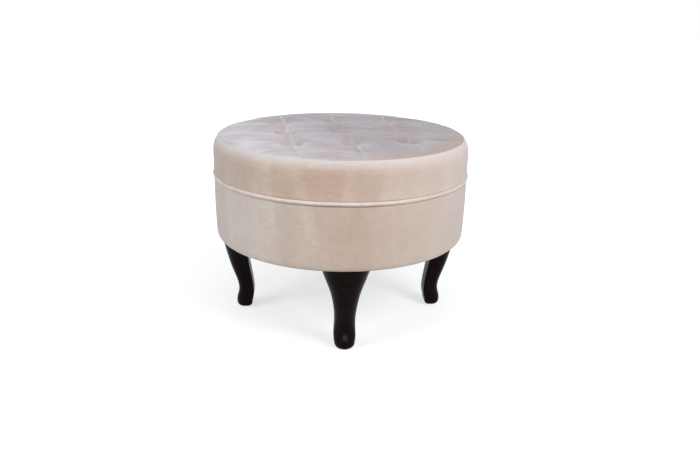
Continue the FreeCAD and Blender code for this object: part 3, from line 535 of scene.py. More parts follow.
def make_painted_light_group():
    """Painted light and shade: a painted shade that grows across the seat, and a ragged strip at part of the
    rim in a given colour, painted darker on the top and lighter on the bands.

    The tufts and pleats are then marked from the piece's own attributes, which are 0 on pieces without them:
    painted shade on the tufts' slopes and in the pleats' hollows, and a painted highlight on the pleats'
    raised edges.
    """
    group, given, out = shader_group(
        "painted_light_and_shade",
        {
            "Color": ("Color", None),
            "Pleat Edge": ("Color", None),
            "Pleat Shade": ("Color", None),
            "Tuft Wall": ("Color", None),
            "Far Shade": ("Color", None),
            "Rim Shade": ("Color", None),
            "Rim Start": ("Float", 0.2),
            "Rim End": ("Float", 0.25),
            "Far Heading": ("Vector", None),
            "Rim Heading": ("Vector", None),
        },
        {"Color": ("Color", None)},
    )
    place = node(group, "ShaderNodeTexCoord").outputs["Object"]
    flat = vector_node(group, "MULTIPLY", place, (1, 1, 0))
    clouds = math_node(group, "SUBTRACT", noise(group, place, CLOUD_SCALE, 3.0), 0.5)
    # Painted shade: the colour is multiplied by the far shade, which grows across the seat along the far
    # heading.
    across = vector_node(group, "DOT_PRODUCT", flat, given.outputs["Far Heading"], output="Value")
    drift = math_node(group, "MULTIPLY_ADD", clouds, 0.22, across)
    far = spread(group, drift, -0.22, -0.01)
    drifted = mixed(group, far, given.outputs["Color"], given.outputs["Far Shade"], blend="MULTIPLY")
    # A ragged strip at part of the rim takes the rim's colour: painted shade where that colour is darker,
    # painted light where it is lighter.
    reach = vector_node(group, "LENGTH", flat, output="Value")
    band = node(group, "ShaderNodeMapRange", {
        "Value": math_node(group, "MULTIPLY_ADD", clouds, 0.05, reach),
        "From Min": given.outputs["Rim Start"], "From Max": given.outputs["Rim End"],
    }, interpolation_type="SMOOTHSTEP").outputs["Result"]
    way = vector_node(group, "NORMALIZE", flat)
    side = vector_node(group, "DOT_PRODUCT", way, given.outputs["Rim Heading"], output="Value")
    mask = math_node(group, "MULTIPLY", band, spread(group, side, 0.45, 1.0), clamp=True)
    color = mixed(group, mask, drifted, given.outputs["Rim Shade"])
    # Painted shade on the tufts' slopes and in the pleats' hollows, and a painted highlight on the pleats'
    # raised edges.
    marks = (
        ("tuft_wall", "Tuft Wall", 0.65),
        ("pleat_shade", "Pleat Shade", 0.5),
        ("pleat_edge", "Pleat Edge", 0.7),
    )
    for name, socket, share in marks:
        mark = node(group, "ShaderNodeAttribute", attribute_name=name).outputs["Fac"]
        marked = math_node(group, "MULTIPLY", mark, share, clamp=True)
        color = mixed(group, marked, color, given.outputs[socket])
    group.links.new(color, out.inputs["Color"])
    return group


nap_group = make_nap_group()
painted_light_group = make_painted_light_group()


def velvet(name, ground, brushed, ruffled, stretch, crest_highlight=(None, 1.0, 2.0), painted_light=None, turn=0.0, patches=9.0,
           sheen=0.35, spread_out=0.62):
    """Velvet of three colours with a painted highlight at its crest (colour, start, end) and, if given,
    painted light and shade.
    """
    material, tree, shader = new_material(
        name, Sheen_Weight=sheen, Sheen_Roughness=spread_out, Sheen_Tint=(0.86, 0.92, 1.0, 1),
        Specular_IOR_Level=0.10,
    )
    crest_color, crest_start, crest_end = crest_highlight
    nap = place_group(tree, nap_group, {
        "Ground": linear(*ground),
        "Brushed": linear(*brushed),
        "Ruffled": linear(*ruffled),
        "Crest": linear(*(crest_color or ground)),
        "Crest Start": crest_start,
        "Crest End": crest_end,
        "Patches": patches,
        "Place": stretched(tree, stretch, turn),
    })
    color = nap["Color"]
    if painted_light is not None:
        color = place_group(tree, painted_light_group, {"Color": color, **painted_light})["Color"]
    tree.links.new(color, shader.inputs["Base Color"])
    tree.links.new(nap["Roughness"], shader.inputs["Roughness"])
    bumped(tree, shader, nap["Height"], 0.35, 0.0008)
    return material


# Painted light on both bands at the front right; the lower band is also painted darker away from its left, so
# its left stands lighter.
painted_light_front_right = {
    "Rim Shade": linear(196, 184, 175), "Rim Start": 0.20, "Rim End": 0.25, "Rim Heading": (0.54, -0.45, 0),
}
# Upper band: its crest colour is a painted highlight on the shoulder.
upper_velvet = velvet(
    "velvet_upper", (167, 143, 127), (183, 163, 149), (153, 128, 112), (1, 1, 3.5),
    crest_highlight=((179, 170, 166), 0.380, 0.401),
    painted_light={"Far Shade": linear(255, 255, 255), **painted_light_front_right}, patches=15.0,
)
lower_velvet = velvet(
    "velvet_lower", (178, 162, 151), (191, 179, 169), (161, 144, 133), (1, 1, 3.5),
    painted_light={"Far Shade": linear(239, 227, 217), "Far Heading": (1.15, 0.1, 0), **painted_light_front_right}, patches=15.0,
)
# The top's velvet is coloured cooler and greyer than the bands', a painted sheen. Its painted light and
# shade: a highlight on the pleats' raised edges, shade in their hollows and on the tufts' slopes, shade
# growing towards the right and back, and a darker strip at the front-right rim.
top_velvet = velvet(
    "velvet_top", (180, 170, 172), (199, 194, 199), (152, 133, 129), (0.25, 1.2, 1),
    turn=0.10, patches=11.0, sheen=0.3, spread_out=0.36,
    painted_light={
        "Pleat Edge": linear(202, 192, 190), "Pleat Shade": linear(140, 118, 112),
        "Tuft Wall": linear(172, 151, 147),
        "Far Shade": linear(214, 211, 209), "Far Heading": (0.93, 0.35, 0),
        "Rim Shade": linear(160, 140, 131), "Rim Start": 0.224, "Rim End": 0.262,
        "Rim Heading": (0.74, -0.67, 0),
    },
)
# The piping's velvet is coloured lighter than the bands', which are the same cloth: a painted highlight along
# its round.
piping_velvet = velvet(
    "velvet_piping", (191, 172, 161), (203, 187, 178), (180, 160, 148), (1, 1, 1), patches=16.0,
)


# Wood, cloth and metal

def make_grain_group():
    """Wood grain along Z: rings about an axis that a slow noise bends, and short pores."""
    group, given, out = shader_group(
        "wood_grain",
        {
            "Light": ("Color", None),
            "Dark": ("Color", None),
            "Rings": ("Float", 60.0),
            "Place": ("Vector", None),
        },
        {"Color": ("Color", None), "Height": ("Float", None), "Mask": ("Float", None)},
    )
    place = given.outputs["Place"]
    rings = node(
        group, "ShaderNodeTexWave",
        {
            "Vector": place, "Scale": given.outputs["Rings"],
            "Distortion": 3.5, "Detail": 3.0, "Detail Scale": 1.2,
        },
        wave_type="RINGS", rings_direction="Z",
    ).outputs["Fac"]
    pores = spread(group, noise(group, place, 700.0, 2.0, 0.6), 0.45, 0.7)
    mask = math_node(group, "MULTIPLY_ADD", pores, 0.3, math_node(group, "MULTIPLY", rings, 0.7), clamp=True)
    group.links.new(mixed(group, mask, given.outputs["Light"], given.outputs["Dark"]), out.inputs["Color"])
    group.links.new(mask, out.inputs["Mask"])
    group.links.new(math_node(group, "MULTIPLY", mask, -1.0), out.inputs["Height"])
    return group


def make_weave_group():
    """Plain weave: two crossed waves, each lifted where the other dips, with fibre noise."""
    group, given, out = shader_group(
        "weave",
        {
            "Light": ("Color", None),
            "Dark": ("Color", None),
            "Threads": ("Float", 900.0),
            "Place": ("Vector", None),
        },
        {"Color": ("Color", None), "Height": ("Float", None)},
    )
    place, threads = given.outputs["Place"], given.outputs["Threads"]
    crossed = [
        node(group, "ShaderNodeTexWave", {"Vector": place, "Scale": threads, "Distortion": 0.6},
             wave_type="BANDS", bands_direction=way).outputs["Fac"]
        for way in ("X", "Y")
    ]
    height = math_node(group, "MULTIPLY", crossed[0], crossed[1])
    fibre = noise(group, place, 260.0, 4.0, 0.6)
    mask = math_node(group, "MULTIPLY_ADD", fibre, 0.6, math_node(group, "MULTIPLY", height, 0.5), clamp=True)
    group.links.new(mixed(group, mask, given.outputs["Dark"], given.outputs["Light"]), out.inputs["Color"])
    group.links.new(height, out.inputs["Height"])
    return group


grain_group = make_grain_group()
weave_group = make_weave_group()


def wood(name, light, dark, rings, stretch, roughness, bump=0.25, **constants):
    """Wood, plain or lacquered: the grain colours it, roughens it and stands in slight relief."""
    material, tree, shader = new_material(name, **constants)
    grain = place_group(tree, grain_group, {
        "Light": linear(*light), "Dark": linear(*dark), "Rings": rings, "Place": stretched(tree, stretch),
    })
    tree.links.new(grain["Color"], shader.inputs["Base Color"])
    rough = spread(tree, grain["Mask"], 0.0, 1.0, roughness * 0.9, roughness * 1.15)
    tree.links.new(rough, shader.inputs["Roughness"])
    bumped(tree, shader, grain["Height"], bump, 0.0004)
    return material


def cloth(name, light, dark, threads):
    """Woven cloth or twine with a given number of threads."""
    material, tree, shader = new_material(name, Roughness=0.9, Specular_IOR_Level=0.2)
    weave = place_group(tree, weave_group, {
        "Light": linear(*light), "Dark": linear(*dark), "Threads": threads,
        "Place": stretched(tree, (1, 1, 1)),
    })
    tree.links.new(weave["Color"], shader.inputs["Base Color"])
    bumped(tree, shader, weave["Height"], 0.5, 0.0003)
    return material


def speckled(name, light, dark, scale, roughness, bump, distance, **constants):
    """Finish with a cloudy two-colour noise: foam, wadding, plastic or plated steel."""
    material, tree, shader = new_material(name, **constants)
    place = stretched(tree, (1, 1, 1))
    coarse = noise(tree, place, scale, 4.0, 0.6)
    fine = noise(tree, place, scale * 6, 3.0, 0.6)
    color = mixed(tree, spread(tree, coarse, 0.35, 0.65), linear(*dark), linear(*light))
    tree.links.new(color, shader.inputs["Base Color"])
    rough = spread(tree, fine, 0.3, 0.7, roughness * 0.85, roughness * 1.1)
    tree.links.new(rough, shader.inputs["Roughness"])
    bumped(tree, shader, fine, bump, distance)
    return material


lacquer = wood(
    "leg_lacquer", (19, 9, 8), (8, 3, 2), 55.0, (1, 1, 0.12), 0.25, bump=0.03, Specular_IOR_Level=0.045,
)
plywood = wood("plywood", (206, 176, 132), (176, 140, 98), 22.0, (0.25, 1, 6), 0.72)
softwood = wood("softwood", (214, 184, 138), (182, 143, 98), 60.0, (1, 1, 0.15), 0.70)
hardboard = speckled("hardboard", (128, 92, 62), (96, 66, 42), 260.0, 0.75, 0.3, 0.0003)
zinc = speckled("zinc_plate", (190, 192, 196), (150, 152, 158), 140.0, 0.34, 0.08, 0.0001, Metallic=1.0)
foam = speckled("upholstery_foam", (238, 224, 176), (216, 198, 146), 240.0, 0.95, 0.7, 0.0012)
fleece = speckled("wadding", (240, 240, 236), (214, 214, 210), 180.0, 0.95, 0.8, 0.0015)
glide_plastic = speckled("glide_plastic", (46, 40, 37), (32, 28, 26), 300.0, 0.45, 0.15, 0.0001)
cotton = cloth("cotton_cord", (226, 216, 196), (188, 176, 152), 500.0)
twine = cloth("waxed_twine", (205, 184, 140), (160, 138, 98), 1600.0)
dust_cloth = cloth("dust_cloth", (30, 30, 32), (16, 16, 17), 620.0)

node_finishes = {
    plywood: ["top_board", "base_board"],
    softwood: [f"post_{number}" for number in range(1, 9)],
    hardboard: ["side_shell"],
    zinc: [
        "twine_washers", "top_board_screws", "base_board_screws", "shell_brads", "tee_nuts", "hanger_bolts",
        "dust_cover_staples", "glide_nails",
    ],
    twine: ["tuft_twines"],
    glide_plastic: ["glide_front", "glide_right", "glide_rear", "glide_left"],
}
for finish, names in node_finishes.items():
    for name in names:
        nodes[name].data.materials.clear()
        nodes[name].data.materials.append(finish)


def dress(piece, slot, *stood_for, fill=None):
    """Hang a finished piece on the stool's root body and hide the nodes it stands for; its slot and its fill
    are not used.
    """
    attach(piece, "root")
    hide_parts(*stood_for)
    return piece


# Tufted top

def settle_cloth(points, faces, held, frames=20, pressure=1.2, slack=0.010, cap=0.0018):
    """Shift of each point once the velvet has settled as cloth under pressure from below, up to the cap."""
    piece = add_piece("settling", points, faces, top_velvet, outward=(0, 0, 1))
    group = piece.vertex_groups.new(name="held")
    group.add([int(index) for index in np.flatnonzero(held)], 1.0, "REPLACE")
    modifier = piece.modifiers.new("settle", "CLOTH")
    settings = modifier.settings
    settings.quality = 6
    settings.mass = 0.25
    settings.air_damping = 4.0
    settings.tension_stiffness = 25
    settings.compression_stiffness = 12
    settings.shear_stiffness = 8
    settings.bending_stiffness = 1.2
    settings.use_pressure = True
    settings.uniform_pressure_force = pressure
    settings.shrink_min = -slack
    settings.vertex_group_mass = "held"
    settings.effector_weights.gravity = 0
    modifier.collision_settings.use_collision = False
    modifier.point_cache.frame_start = 1
    modifier.point_cache.frame_end = frames
    for number in range(1, frames + 1):
        scene.frame_set(number)
    settled = piece.evaluated_get(bpy.context.evaluated_depsgraph_get())
    moved = np.zeros(points.size, np.float32)
    settled.data.vertices.foreach_get("co", moved)
    shift = moved.reshape(-1, 3) - points.reshape(-1, 3)
    scene.frame_set(1)
    mesh = piece.data
    bpy.data.objects.remove(piece)
    bpy.data.meshes.remove(mesh)
    length = np.linalg.norm(shift, axis=1)[:, None]
    return (shift * np.minimum(1, cap / np.maximum(length, 1e-9))).reshape(points.shape)


def doubled(grid):
    """Grid with a point added halfway between each two neighbours."""
    for axis in (0, 1):
        grid = np.moveaxis(grid, axis, 0)
        finer = np.repeat(grid, 2, 0)[:-1]
        finer[1::2] = (grid[:-1] + grid[1:]) / 2
        grid = np.moveaxis(finer, 0, axis)
    return grid


def top_points(count):
    """Upper side of the top's velvet on a disc's grid, its rim rolled down into the ridge seam.

    The second array says which points are held, at the tufts and at the rim, while the cloth settles.
    """
    rim = RIDGE_RADIUS - RIM_INSET
    x, y = turned(*disc_grid(count, rim), TUFT_TURN)
    out = np.hypot(x, y)
    level = top_level(x, y) - RIM_DROP * step_up(out, rim - RIM_ROLL, rim) ** 1.5
    return np.stack([x, y, level], -1), (tuft_distance(x, y) < TUFT_SEAT) | (out > rim - RIM_HELD)


def make_top_panel():
    """Top's velvet: the tufted level, settled as cloth, with its wall below and marks for its painted light
    and shade.

    The marks are the tufts' slopes, stronger towards the back, and the pleats' hollows and raised edges:
    painted shade on the slopes and hollows, and a painted highlight on the edges.
    """
    points, _ = top_points(TOP_FINE)
    coarse, held = top_points(TOP_COARSE)
    coarse_faces = grid_faces(TOP_COARSE, TOP_COARSE, wrap_columns=False)
    points = points + doubled(settle_cloth(coarse, coarse_faces, held.ravel()))
    faces = grid_faces(TOP_FINE, TOP_FINE, wrap_columns=False)
    piece = add_piece("top_panel", points, faces, top_velvet, outward=(0, 0, 1))
    u, v = tuft_grid(points[..., 0], points[..., 1])
    hollow, edge = pleat_shares(v, u)
    slope = (tuft_funnel(points[..., 0], points[..., 1]) / TUFT_DEPTH) ** 0.5
    marks = {
        "tuft_wall": slope * (0.15 + 0.85 * step_up(v, -0.11, 0.09)),
        "pleat_shade": hollow * (1 - slope),
        "pleat_edge": edge * (1 - slope),
    }
    for name, values in marks.items():
        attribute = piece.data.attributes.new(name, "FLOAT", "POINT")
        attribute.data.foreach_set("value", values.astype(np.float32).ravel())
    wall = piece.modifiers.new("wall", "SOLIDIFY")
    wall.thickness = VELVET_WALL
    wall.offset = -1
    return piece


def make_buttons():
    """Nine covered buttons: domes whose small folds run in under the edge."""
    angles = round_angles(48)
    climb = np.linspace(0, 0.47 * math.pi, 12)[:, None]
    radius = BUTTON_RADIUS * np.cos(climb) ** 0.8 + BUTTON_FOLD * np.cos(climb) ** 3 * np.cos(13 * angles)
    level = BUTTON_HEIGHT * np.sin(climb) ** 0.9 + 0 * angles
    parts = []
    for number, (place_x, place_y) in enumerate(tuft_places()):
        around = angles + 0.7 * number
        rings = np.stack([
            place_x + radius * np.cos(around),
            place_y + radius * np.sin(around),
            CROWN_TOP - TUFT_DEPTH + 0.0003 + level,
        ], -1)
        parts.append(ring_body(rings))
    return joined("buttons", parts, top_velvet)


dress(make_top_panel(), "velvet", "top_panel_cover", fill=0.7)
dress(make_buttons(), "velvet", "tuft_buttons")


# Side bands and piping

def make_upper_band():
    """Upper side band: tucked in over the piping, upright, round at the shoulder, rolled in at the ridge."""
    shoulder = [
        (
            SEAT_RADIUS - SHOULDER_RADIUS + SHOULDER_RADIUS * math.cos(angle),
            SHOULDER_LEVEL + SHOULDER_RADIUS * math.sin(angle),
        )
        for angle in np.linspace(0.05, 0.630, 7)
    ]
    outer = smooth_line([
        (0.2697, UPPER_BAND_START), (0.2722, 0.3260), (0.2738, 0.3257), (0.2748, 0.3261), (0.2751, 0.3274),
        (0.2748, 0.3305), (0.2742, 0.3375), (0.2738, 0.3475), (0.2740, 0.3595), *shoulder,
        (0.2641, RIDGE_ROLL), (0.2634, 0.4009), (0.2627, 0.4010), (0.2619, 0.4006),
    ], 80)
    loop = shell_loop(outer, VELVET_WALL)
    angles = round_angles(BAND_STEPS)
    level = loop[:, 1][:, None]
    swell = np.sin(np.clip((level - UPPER_BAND_START) / 0.065, 0, 1) * math.pi)
    slow = waves(angles, [(3, 0.00028, 0.4), (5, 0.00022, 2.1), (8, 0.00018, 4.0), (13, 0.00012, 1.2)])
    gathers = waves(angles, [(71, 0.00010, 0.3), (97, 0.00009, 1.7), (112, 0.00006, 2.9)])
    near_piping = np.exp(-(level - UPPER_BAND_START) / 0.006)
    near_seam = near_piping + np.exp(-np.clip(RIDGE_ROLL - level, 0, None) / 0.005)
    outwards = slow * swell + gathers * near_seam * 1.2
    return turned_piece("upper_band", loop, angles, upper_velvet, outwards=outwards)


def make_lower_band():
    """Lower side band: tucked in under the piping, nearly upright, turned under the seat to its hem."""
    outer = smooth_line([
        (0.2450, UNDERSIDE), (0.2550, UNDERSIDE), (0.2655, 0.1861), (0.2692, 0.1877), (0.2713, 0.1917),
        (0.2724, 0.1995), (0.2731, 0.2185), (0.2735, 0.2365), (0.2738, 0.2555), (0.2741, 0.2755),
        (0.2741, 0.3005), (0.2739, 0.3105), (0.2731, 0.3149), (0.2714, 0.3168), (0.2697, LOWER_BAND_END),
    ], 90)
    loop = shell_loop(outer, VELVET_WALL)
    angles = round_angles(BAND_STEPS)
    level = loop[:, 1][:, None]
    swell = np.sin(np.clip((level - UNDERSIDE) / (LOWER_BAND_END - UNDERSIDE), 0, 1) * math.pi)
    slow = waves(angles, [(2, 0.0003, 1.1), (4, 0.0002, 0.2), (7, 0.00022, 3.0), (11, 0.00012, 5.0)])
    gathers = waves(angles, [(67, 0.00010, 1.3), (89, 0.00009, 0.7), (118, 0.00006, 3.9)])
    near_seam = np.exp(-np.clip(LOWER_BAND_END - level, 0, None) / 0.006)
    outwards = slow * swell + gathers * near_seam * 1.2
    return turned_piece("lower_band", loop, angles, lower_velvet, outwards=outwards)


def round_section(centre, level, radius, start, finish, count, endpoint=True):
    """Arc in the section plane about a centre, from one angle to another in degrees."""
    turn = np.radians(np.linspace(start, finish, count, endpoint=endpoint))
    return np.stack([centre + radius * np.cos(turn), level + radius * np.sin(turn)], 1)


piping_angles = round_angles(480)
piping_rise = waves(piping_angles, [(4, 0.00025, 0.9), (9, 0.00018, 2.2), (23, 0.00008, 0.4)])


def make_piping():
    """Piping: a tube of velvet round the cord, with its seam allowance turned down inside."""
    tube = round_section(PIPING_CENTRE, DECK_TOP, PIPING_RADIUS, 160, -160, 40)
    allowance = np.array([(0.2678, 0.3190), (0.2678, 0.3066), (0.2667, 0.3066), (0.2667, 0.3230)])
    loop = np.vstack([tube, allowance])
    bore = round_section(PIPING_CENTRE, DECK_TOP, PIPING_BORE, 0, 360, 24, endpoint=False)
    shell = turned_points(loop, piping_angles, upwards=piping_rise)
    hollow = turned_points(bore, piping_angles, upwards=piping_rise)
    shell_quads = grid_faces(len(loop), piping_angles.size, wrap_rows=True)
    hollow_quads = grid_faces(len(bore), piping_angles.size, wrap_rows=True) + shell.shape[0] * shell.shape[1]
    return add_piece(
        "piping", np.vstack([shell.reshape(-1, 3), hollow.reshape(-1, 3)]),
        np.vstack([shell_quads, hollow_quads]), piping_velvet,
    )


def make_piping_cord():
    """Cord in the piping: three strands laid round each other, one turn about every 12 mm."""
    steps = 36
    turn = np.linspace(0, 2 * math.pi, steps, endpoint=False)[:, None]
    strands = np.abs(np.cos(1.5 * (turn - STRAND_TURNS * piping_angles)))
    radius = CORD_RADIUS + STRAND_HEIGHT * strands
    out = PIPING_CENTRE + radius * np.cos(turn)
    level = DECK_TOP + radius * np.sin(turn) + piping_rise
    points = np.stack([out * np.cos(piping_angles), out * np.sin(piping_angles), level], -1)
    return add_piece("laid_cord", points, grid_faces(steps, piping_angles.size, wrap_rows=True), cotton)


dress(make_upper_band(), "velvet", "boxing_cover", fill=0.8)
dress(make_lower_band(), "velvet", "lower_cover", fill=0.7)
dress(make_piping(), "velvet", "piping_cover")
dress(make_piping_cord(), "piping_cord", "piping_cord")


# Padding under the velvet

def capped(count, share, flat_radius, side, top):
    """Points over the seat: out to the flat radius at the top's level, then down the side line to its end."""
    x, y = disc_grid(count, 1.0)
    reach = np.minimum(np.hypot(x, y), 1.0)
    side = np.asarray(side, float)
    along = np.concatenate([[0], np.cumsum(np.linalg.norm(np.diff(side, axis=0), axis=1))])
    down = np.clip((reach - share) / (1 - share), 0, 1) * along[-1]
    radius = np.where(reach <= share, reach / share * flat_radius, np.interp(down, along, side[:, 0]))
    scale = radius / np.maximum(reach, 1e-9)
    x, y = x * scale, y * scale
    level = np.where(reach <= share, top(x, y), np.interp(down, along, side[:, 1]))
    return np.stack([x, y, level], -1)


def padding(name, upper, lower, material):
    """Closed pad between two grids of points with a round hole for the twine at each tuft."""
    count = len(upper)
    quads = grid_faces(count, count, wrap_columns=False)
    flat = upper.reshape(-1, 3)
    middle = flat[quads].mean(1)
    kept = quads[(tuft_distance(middle[:, 0], middle[:, 1]) > TWINE_HOLE) | (middle[:, 2] < SHOULDER_LEVEL)]
    edges = np.vstack([kept[:, [side, (side + 1) % 4]] for side in range(4)])
    codes = edges[:, 0].astype(np.int64) * count * count + edges[:, 1]
    backwards = edges[:, 1].astype(np.int64) * count * count + edges[:, 0]
    border = edges[~np.isin(codes, backwards)]
    both = np.vstack([flat, lower.reshape(-1, 3)])
    rim = np.unique(border)
    for place_x, place_y in tuft_places():
        for start in (0, count * count):
            away = both[rim + start, :2] - (place_x, place_y)
            reach = np.hypot(*away.T)
            near = reach < 3 * TWINE_HOLE
            round_hole = away[near] * (TWINE_HOLE / reach[near])[:, None]
            both[rim[near] + start, :2] = (place_x, place_y) + round_hole
    under = count * count
    walls = np.stack([border[:, 1], border[:, 0], border[:, 0] + under, border[:, 1] + under], 1)
    quads = np.vstack([kept, kept[:, ::-1] + under, walls])
    used, places = np.unique(quads, return_inverse=True)
    return add_piece(name, both[used], places.reshape(quads.shape), material)


def wadding_top(x, y):
    """Level of the wadding: the velvet's, less its wall and a small depth."""
    return top_level(x, y) - VELVET_WALL - WADDING_SINK


def foam_top(x, y):
    """Level of the foam: sunk below the crown, with a share of the velvet's relief."""
    crown = crown_level(x, y)
    return crown - FOAM_SINK - FOAM_RELIEF * (crown - top_level(x, y))


def shoulder_line(radius, start_angle, count):
    """Arc of the shoulder at a smaller radius, from the given angle down to level."""
    turn = np.linspace(start_angle, 0, count)
    centre = SEAT_RADIUS - SHOULDER_RADIUS
    return [(centre + radius * math.cos(angle), SHOULDER_LEVEL + radius * math.sin(angle)) for angle in turn]


def make_padding():
    """Wadding over the foam, each a part that follows the tufts and a side line down to its lower edge."""
    count = 101
    arc = shoulder_line(0.0459, 0.55, 8)
    wadding_side = [(WADDING_FLAT, 0.3987), (0.2620, 0.3970), *arc, (0.2719, 0.3263)]
    foam_side = [(FOAM_FLAT, 0.3907), (0.2570, 0.3875), (0.2606, 0.3825), (0.2618, 0.3755), (0.2618, 0.3217)]
    gap_side = [(radius + LAYER_GAP, level + LAYER_GAP) for radius, level in foam_side[:-1]]
    gap_side.append((0.2620, 0.3263))
    outer = capped(count, FLAT_SHARE, WADDING_FLAT, wadding_side, wadding_top)
    inner = capped(count, FLAT_SHARE, FOAM_FLAT, gap_side, lambda x, y: foam_top(x, y) + LAYER_GAP)
    upper = capped(count, FLAT_SHARE, FOAM_FLAT, foam_side, foam_top)
    floor = DECK_TOP + 0.0001
    base = [(FOAM_FLAT, floor), (0.2618, floor)]
    lower = capped(count, FLAT_SHARE, FOAM_FLAT, base, lambda x, y: floor + 0 * x)
    return padding("top_fleece", outer, inner, fleece), padding("foam_block", upper, lower, foam)


def make_side_fleece():
    """Wadding behind the lower band: a ring whose outside is rough and whose inside lies on the shell."""
    loop = np.array([
        (0.2667, 0.1955), (0.2698, 0.1957), (0.2708, 0.2015), (0.2714, 0.2185), (0.2718, 0.2455),
        (0.2719, 0.3015), (0.2712, 0.3055), (0.2690, 0.3063), (0.2667, 0.3061),
    ])
    angles = round_angles(180)
    outside = loop[:, 0][:, None] > 0.269
    rough = (waves(angles, [(31, 0.0002, 0.0), (47, 0.00015, 1.0)]) - 0.00035) * outside
    return turned_piece("side_fleece", loop, angles, fleece, outwards=rough)


top_fleece, foam_block = make_padding()
dress(top_fleece, "wadding", "top_wadding", fill=0.5)
dress(foam_block, "foam", "foam_pad", fill=1.0)
dress(make_side_fleece(), "wadding", "side_wadding", fill=0.4)


# Legs: cabriole, from sections along their height

LEG_SECTIONS = np.array([
    # height, outer and inner reach as shares of the depth, half-width as a share of the width
    (0.000, 0.200, 0.240, 0.150), (0.020, 0.255, 0.320, 0.187), (0.055, 0.280, 0.362, 0.207),
    (0.100, 0.270, 0.392, 0.217), (0.170, 0.208, 0.430, 0.218), (0.250, 0.190, 0.424, 0.211),
    (0.340, 0.250, 0.392, 0.209), (0.420, 0.340, 0.350, 0.216), (0.505, 0.437, 0.303, 0.233),
    (0.590, 0.522, 0.268, 0.257), (0.670, 0.592, 0.248, 0.289), (0.755, 0.660, 0.233, 0.340),
    (0.885, 0.745, 0.216, 0.430), (1.000, 0.800, 0.200, 0.500),
])


def leg_rings():
    """Rings of the leg that points along +X: rectangles with round outer and tighter inner corners."""
    height = np.linspace(0, 1, 120) ** 1.15
    outer, inner, half = natural_curve(height, LEG_SECTIONS[:, 0], LEG_SECTIONS[:, 1:]).T
    outer, inner, half = outer * LEG_DEPTH, inner * LEG_DEPTH, half * LEG_WIDTH
    foot = FOOT_ROUNDING * np.clip(1 - height * LEG_HEIGHT / 0.0012, 0, 1) ** 2
    outer, inner, half = outer - foot, inner - foot, half - foot
    depth = outer + inner
    corners = (
        (np.minimum(0.76 * depth, 0.90 * half), outer, 1, (0, 90)),
        (np.minimum(0.20 * depth, 0.50 * half), -inner, -1, (90, 180)),
    )
    arcs = []
    for radius, reach, way, turns in corners:
        turn = np.radians(np.linspace(*turns, 14))[None, :]
        arcs.append(np.stack([
            (reach - way * radius)[:, None] + radius[:, None] * np.cos(turn),
            (half - radius)[:, None] + radius[:, None] * np.sin(turn),
        ], -1))
    upper = np.concatenate(arcs, axis=1)
    lower = upper[:, ::-1] * (1, -1)
    section = np.concatenate([upper, lower], axis=1)
    level = LEG_FOOT + height * LEG_HEIGHT - FOOT_SINK * np.clip(1 - height / 0.06, 0, 1)
    recess = GLIDE_RECESS * section[:1] / np.linalg.norm(section[:1], axis=2, keepdims=True)
    section = np.concatenate([recess, recess, section])
    level = np.concatenate([[LEG_FOOT + 0.0002, level[0]], level])
    level = np.broadcast_to(level[:, None, None], section.shape[:2] + (1,))
    return np.concatenate([section + (LEG_CENTRE, 0), level], axis=2)


def make_leg(name, heading):
    """Leg whose rings are turned about Z to its heading."""
    rings = leg_rings()
    rings[..., 0], rings[..., 1] = turned(rings[..., 0], rings[..., 1], heading)
    points, quads, fans = ring_body(rings)
    return add_piece(name, points, quads, lacquer, triangles=fans)


for side, heading in (("front", -90), ("right", 0), ("rear", 90), ("left", 180)):
    dress(make_leg(f"cabriole_{side}", math.radians(heading)), "leg_lacquer", f"leg_{side}")


# Dust cover under the seat

def make_dust_sheet():
    """Thin black cloth stapled under the seat: it sags a little in the middle and puckers at the staples."""
    x, y = disc_grid(DUST_SHEET_STEPS, DUST_SHEET_RADIUS)
    out, turn = np.hypot(x, y), np.arctan2(y, x)
    sag = DUST_SHEET_SAG * np.clip(1 - (out / 0.188) ** 2, 0, 1) ** 2
    pucker = DUST_SHEET_PUCKER * np.clip(-np.cos(12 * turn), 0, None) * step_up(out, 0.20, 0.24)
    points = np.stack([x, y, DUST_SHEET_LEVEL - sag - pucker], -1)
    faces = grid_faces(DUST_SHEET_STEPS, DUST_SHEET_STEPS, wrap_columns=False)
    sheet = add_piece("dust_sheet", points, faces, dust_cloth, outward=(0, 0, -1))
    wall = sheet.modifiers.new("wall", "SOLIDIFY")
    wall.thickness = DUST_SHEET_WALL
    wall.offset = 0
    return sheet


dust_sheet = dress(make_dust_sheet(), "dust_cloth", "dust_cover")


# Stage, light and camera

def placed(right, up, back, place):
    """Matrix of a lamp or camera from its three directions and its place."""
    return Matrix([*zip(right, up, back, place), (0, 0, 0, 1)])


def add_light(name, place, target, size, power, color):
    """Soft rectangular lamp at a place, turned to its target."""
    data = bpy.data.lights.new(name, "AREA")
    data.shape = "RECTANGLE"
    data.size, data.size_y = size
    data.energy = power
    data.color = color
    light = bpy.data.objects.new(name, data)
    scene.collection.objects.link(light)
    away = np.asarray(place, float) - np.asarray(target, float)
    away /= np.linalg.norm(away)
    side = np.cross((0, 0, 1), away)
    side /= np.linalg.norm(side)
    up = np.cross(away, side)
    light.matrix_world = placed(side, up, away, place)


def seen_mask(tree):
    """1 for the rays that show the background: the camera's, and those that metal and glass send on."""
    path = node(tree, "ShaderNodeLightPath")
    seen = math_node(tree, "MAXIMUM", path.outputs["Is Camera Ray"], path.outputs["Is Glossy Ray"])
    return math_node(tree, "MAXIMUM", seen, path.outputs["Is Transmission Ray"])


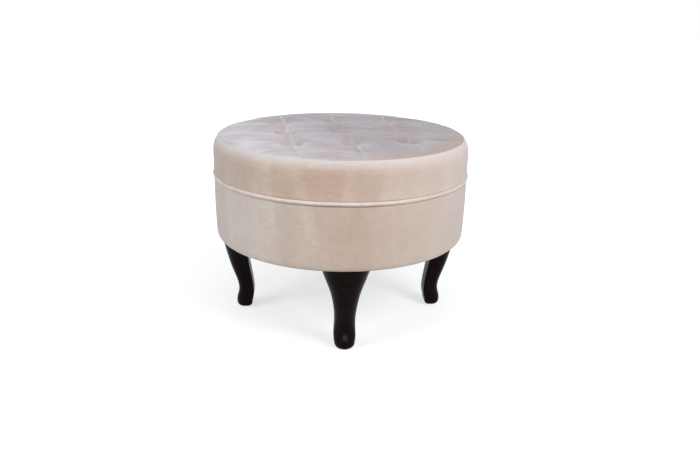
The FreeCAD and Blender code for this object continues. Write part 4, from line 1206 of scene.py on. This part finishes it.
def make_floor():
    """Round white floor: a pale diffuse surface that keeps the shadow, lifted to white for the camera."""
    section = np.array([(0.4, -0.002), (14.0, -0.002), (14.0, 0.0), (0.4, 0.0)])
    rings = turned_points(section, round_angles(96))
    points, quads, fans = ring_body(rings)
    material, tree, shader = new_material("white_floor", Roughness=0.9, Specular_IOR_Level=0.0)
    shader.inputs["Base Color"].default_value = (0.42, 0.42, 0.42, 1)
    shader.inputs["Emission Color"].default_value = (1, 1, 1, 1)
    place = node(tree, "ShaderNodeTexCoord").outputs["Object"]
    out = vector_node(tree, "LENGTH", place, output="Value")
    lift = spread(tree, out, 0.5, 1.1, 0.65, 1.0)
    tree.links.new(math_node(tree, "MULTIPLY", seen_mask(tree), lift), shader.inputs["Emission Strength"])
    floor = add_piece("floor", points, quads, material, triangles=fans)


def make_world():
    """Studio: a soft cool light on the stool, and plain white where the background is seen."""
    world = bpy.data.worlds.new("studio")
    scene.world = world
    world.use_nodes = True
    tree = world.node_tree
    tree.nodes.clear()
    output = node(tree, "ShaderNodeOutputWorld")
    lit = node(tree, "ShaderNodeBackground", {"Color": (0.93, 0.96, 1.0, 1), "Strength": 0.55})
    seen = node(tree, "ShaderNodeBackground", {"Color": (1, 1, 1, 1), "Strength": 1.0})
    choice = node(tree, "ShaderNodeMixShader", {0: seen_mask(tree), 1: lit.outputs[0], 2: seen.outputs[0]})
    tree.links.new(choice.outputs[0], output.inputs[0])


def make_camera():
    """Camera fitted to the photo: the directions to its right, up and back, its place and its lens."""
    data = bpy.data.cameras.new("camera")
    data.sensor_width = 36.0
    data.sensor_fit = "HORIZONTAL"
    data.lens = 36.025
    data.clip_end = 60.0
    camera = bpy.data.objects.new("camera", data)
    scene.collection.objects.link(camera)
    right = (0.99751, -0.06783, 0.01935)
    up = (0.00362, 0.32329, 0.94629)
    back = (-0.07045, -0.94387, 0.32273)
    place = (-0.089081, -1.502911, 0.687980)
    camera.matrix_world = placed(right, up, back, place)
    scene.camera = camera


make_floor()
make_world()
make_camera()
add_light("key", (1.62, -1.77, 1.9), SEAT_MIDDLE, (1.2, 1.2), 56, (0.97, 0.985, 1.0))
add_light("fill", (-2.1, -1.0, 1.4), SEAT_MIDDLE, (1.4, 1.4), 36, (0.90, 0.965, 1.0))
add_light("above", (0.0, -0.6, 2.4), SEAT_MIDDLE, (0.9, 0.9), 8, (0.97, 0.98, 1.0))
add_light("front", (0.13, -2.3, 0.22), (0, -0.22, 0.03), (0.8, 0.34), 10.0, (1.0, 0.97, 0.93))
scene.view_settings.view_transform = "Standard"
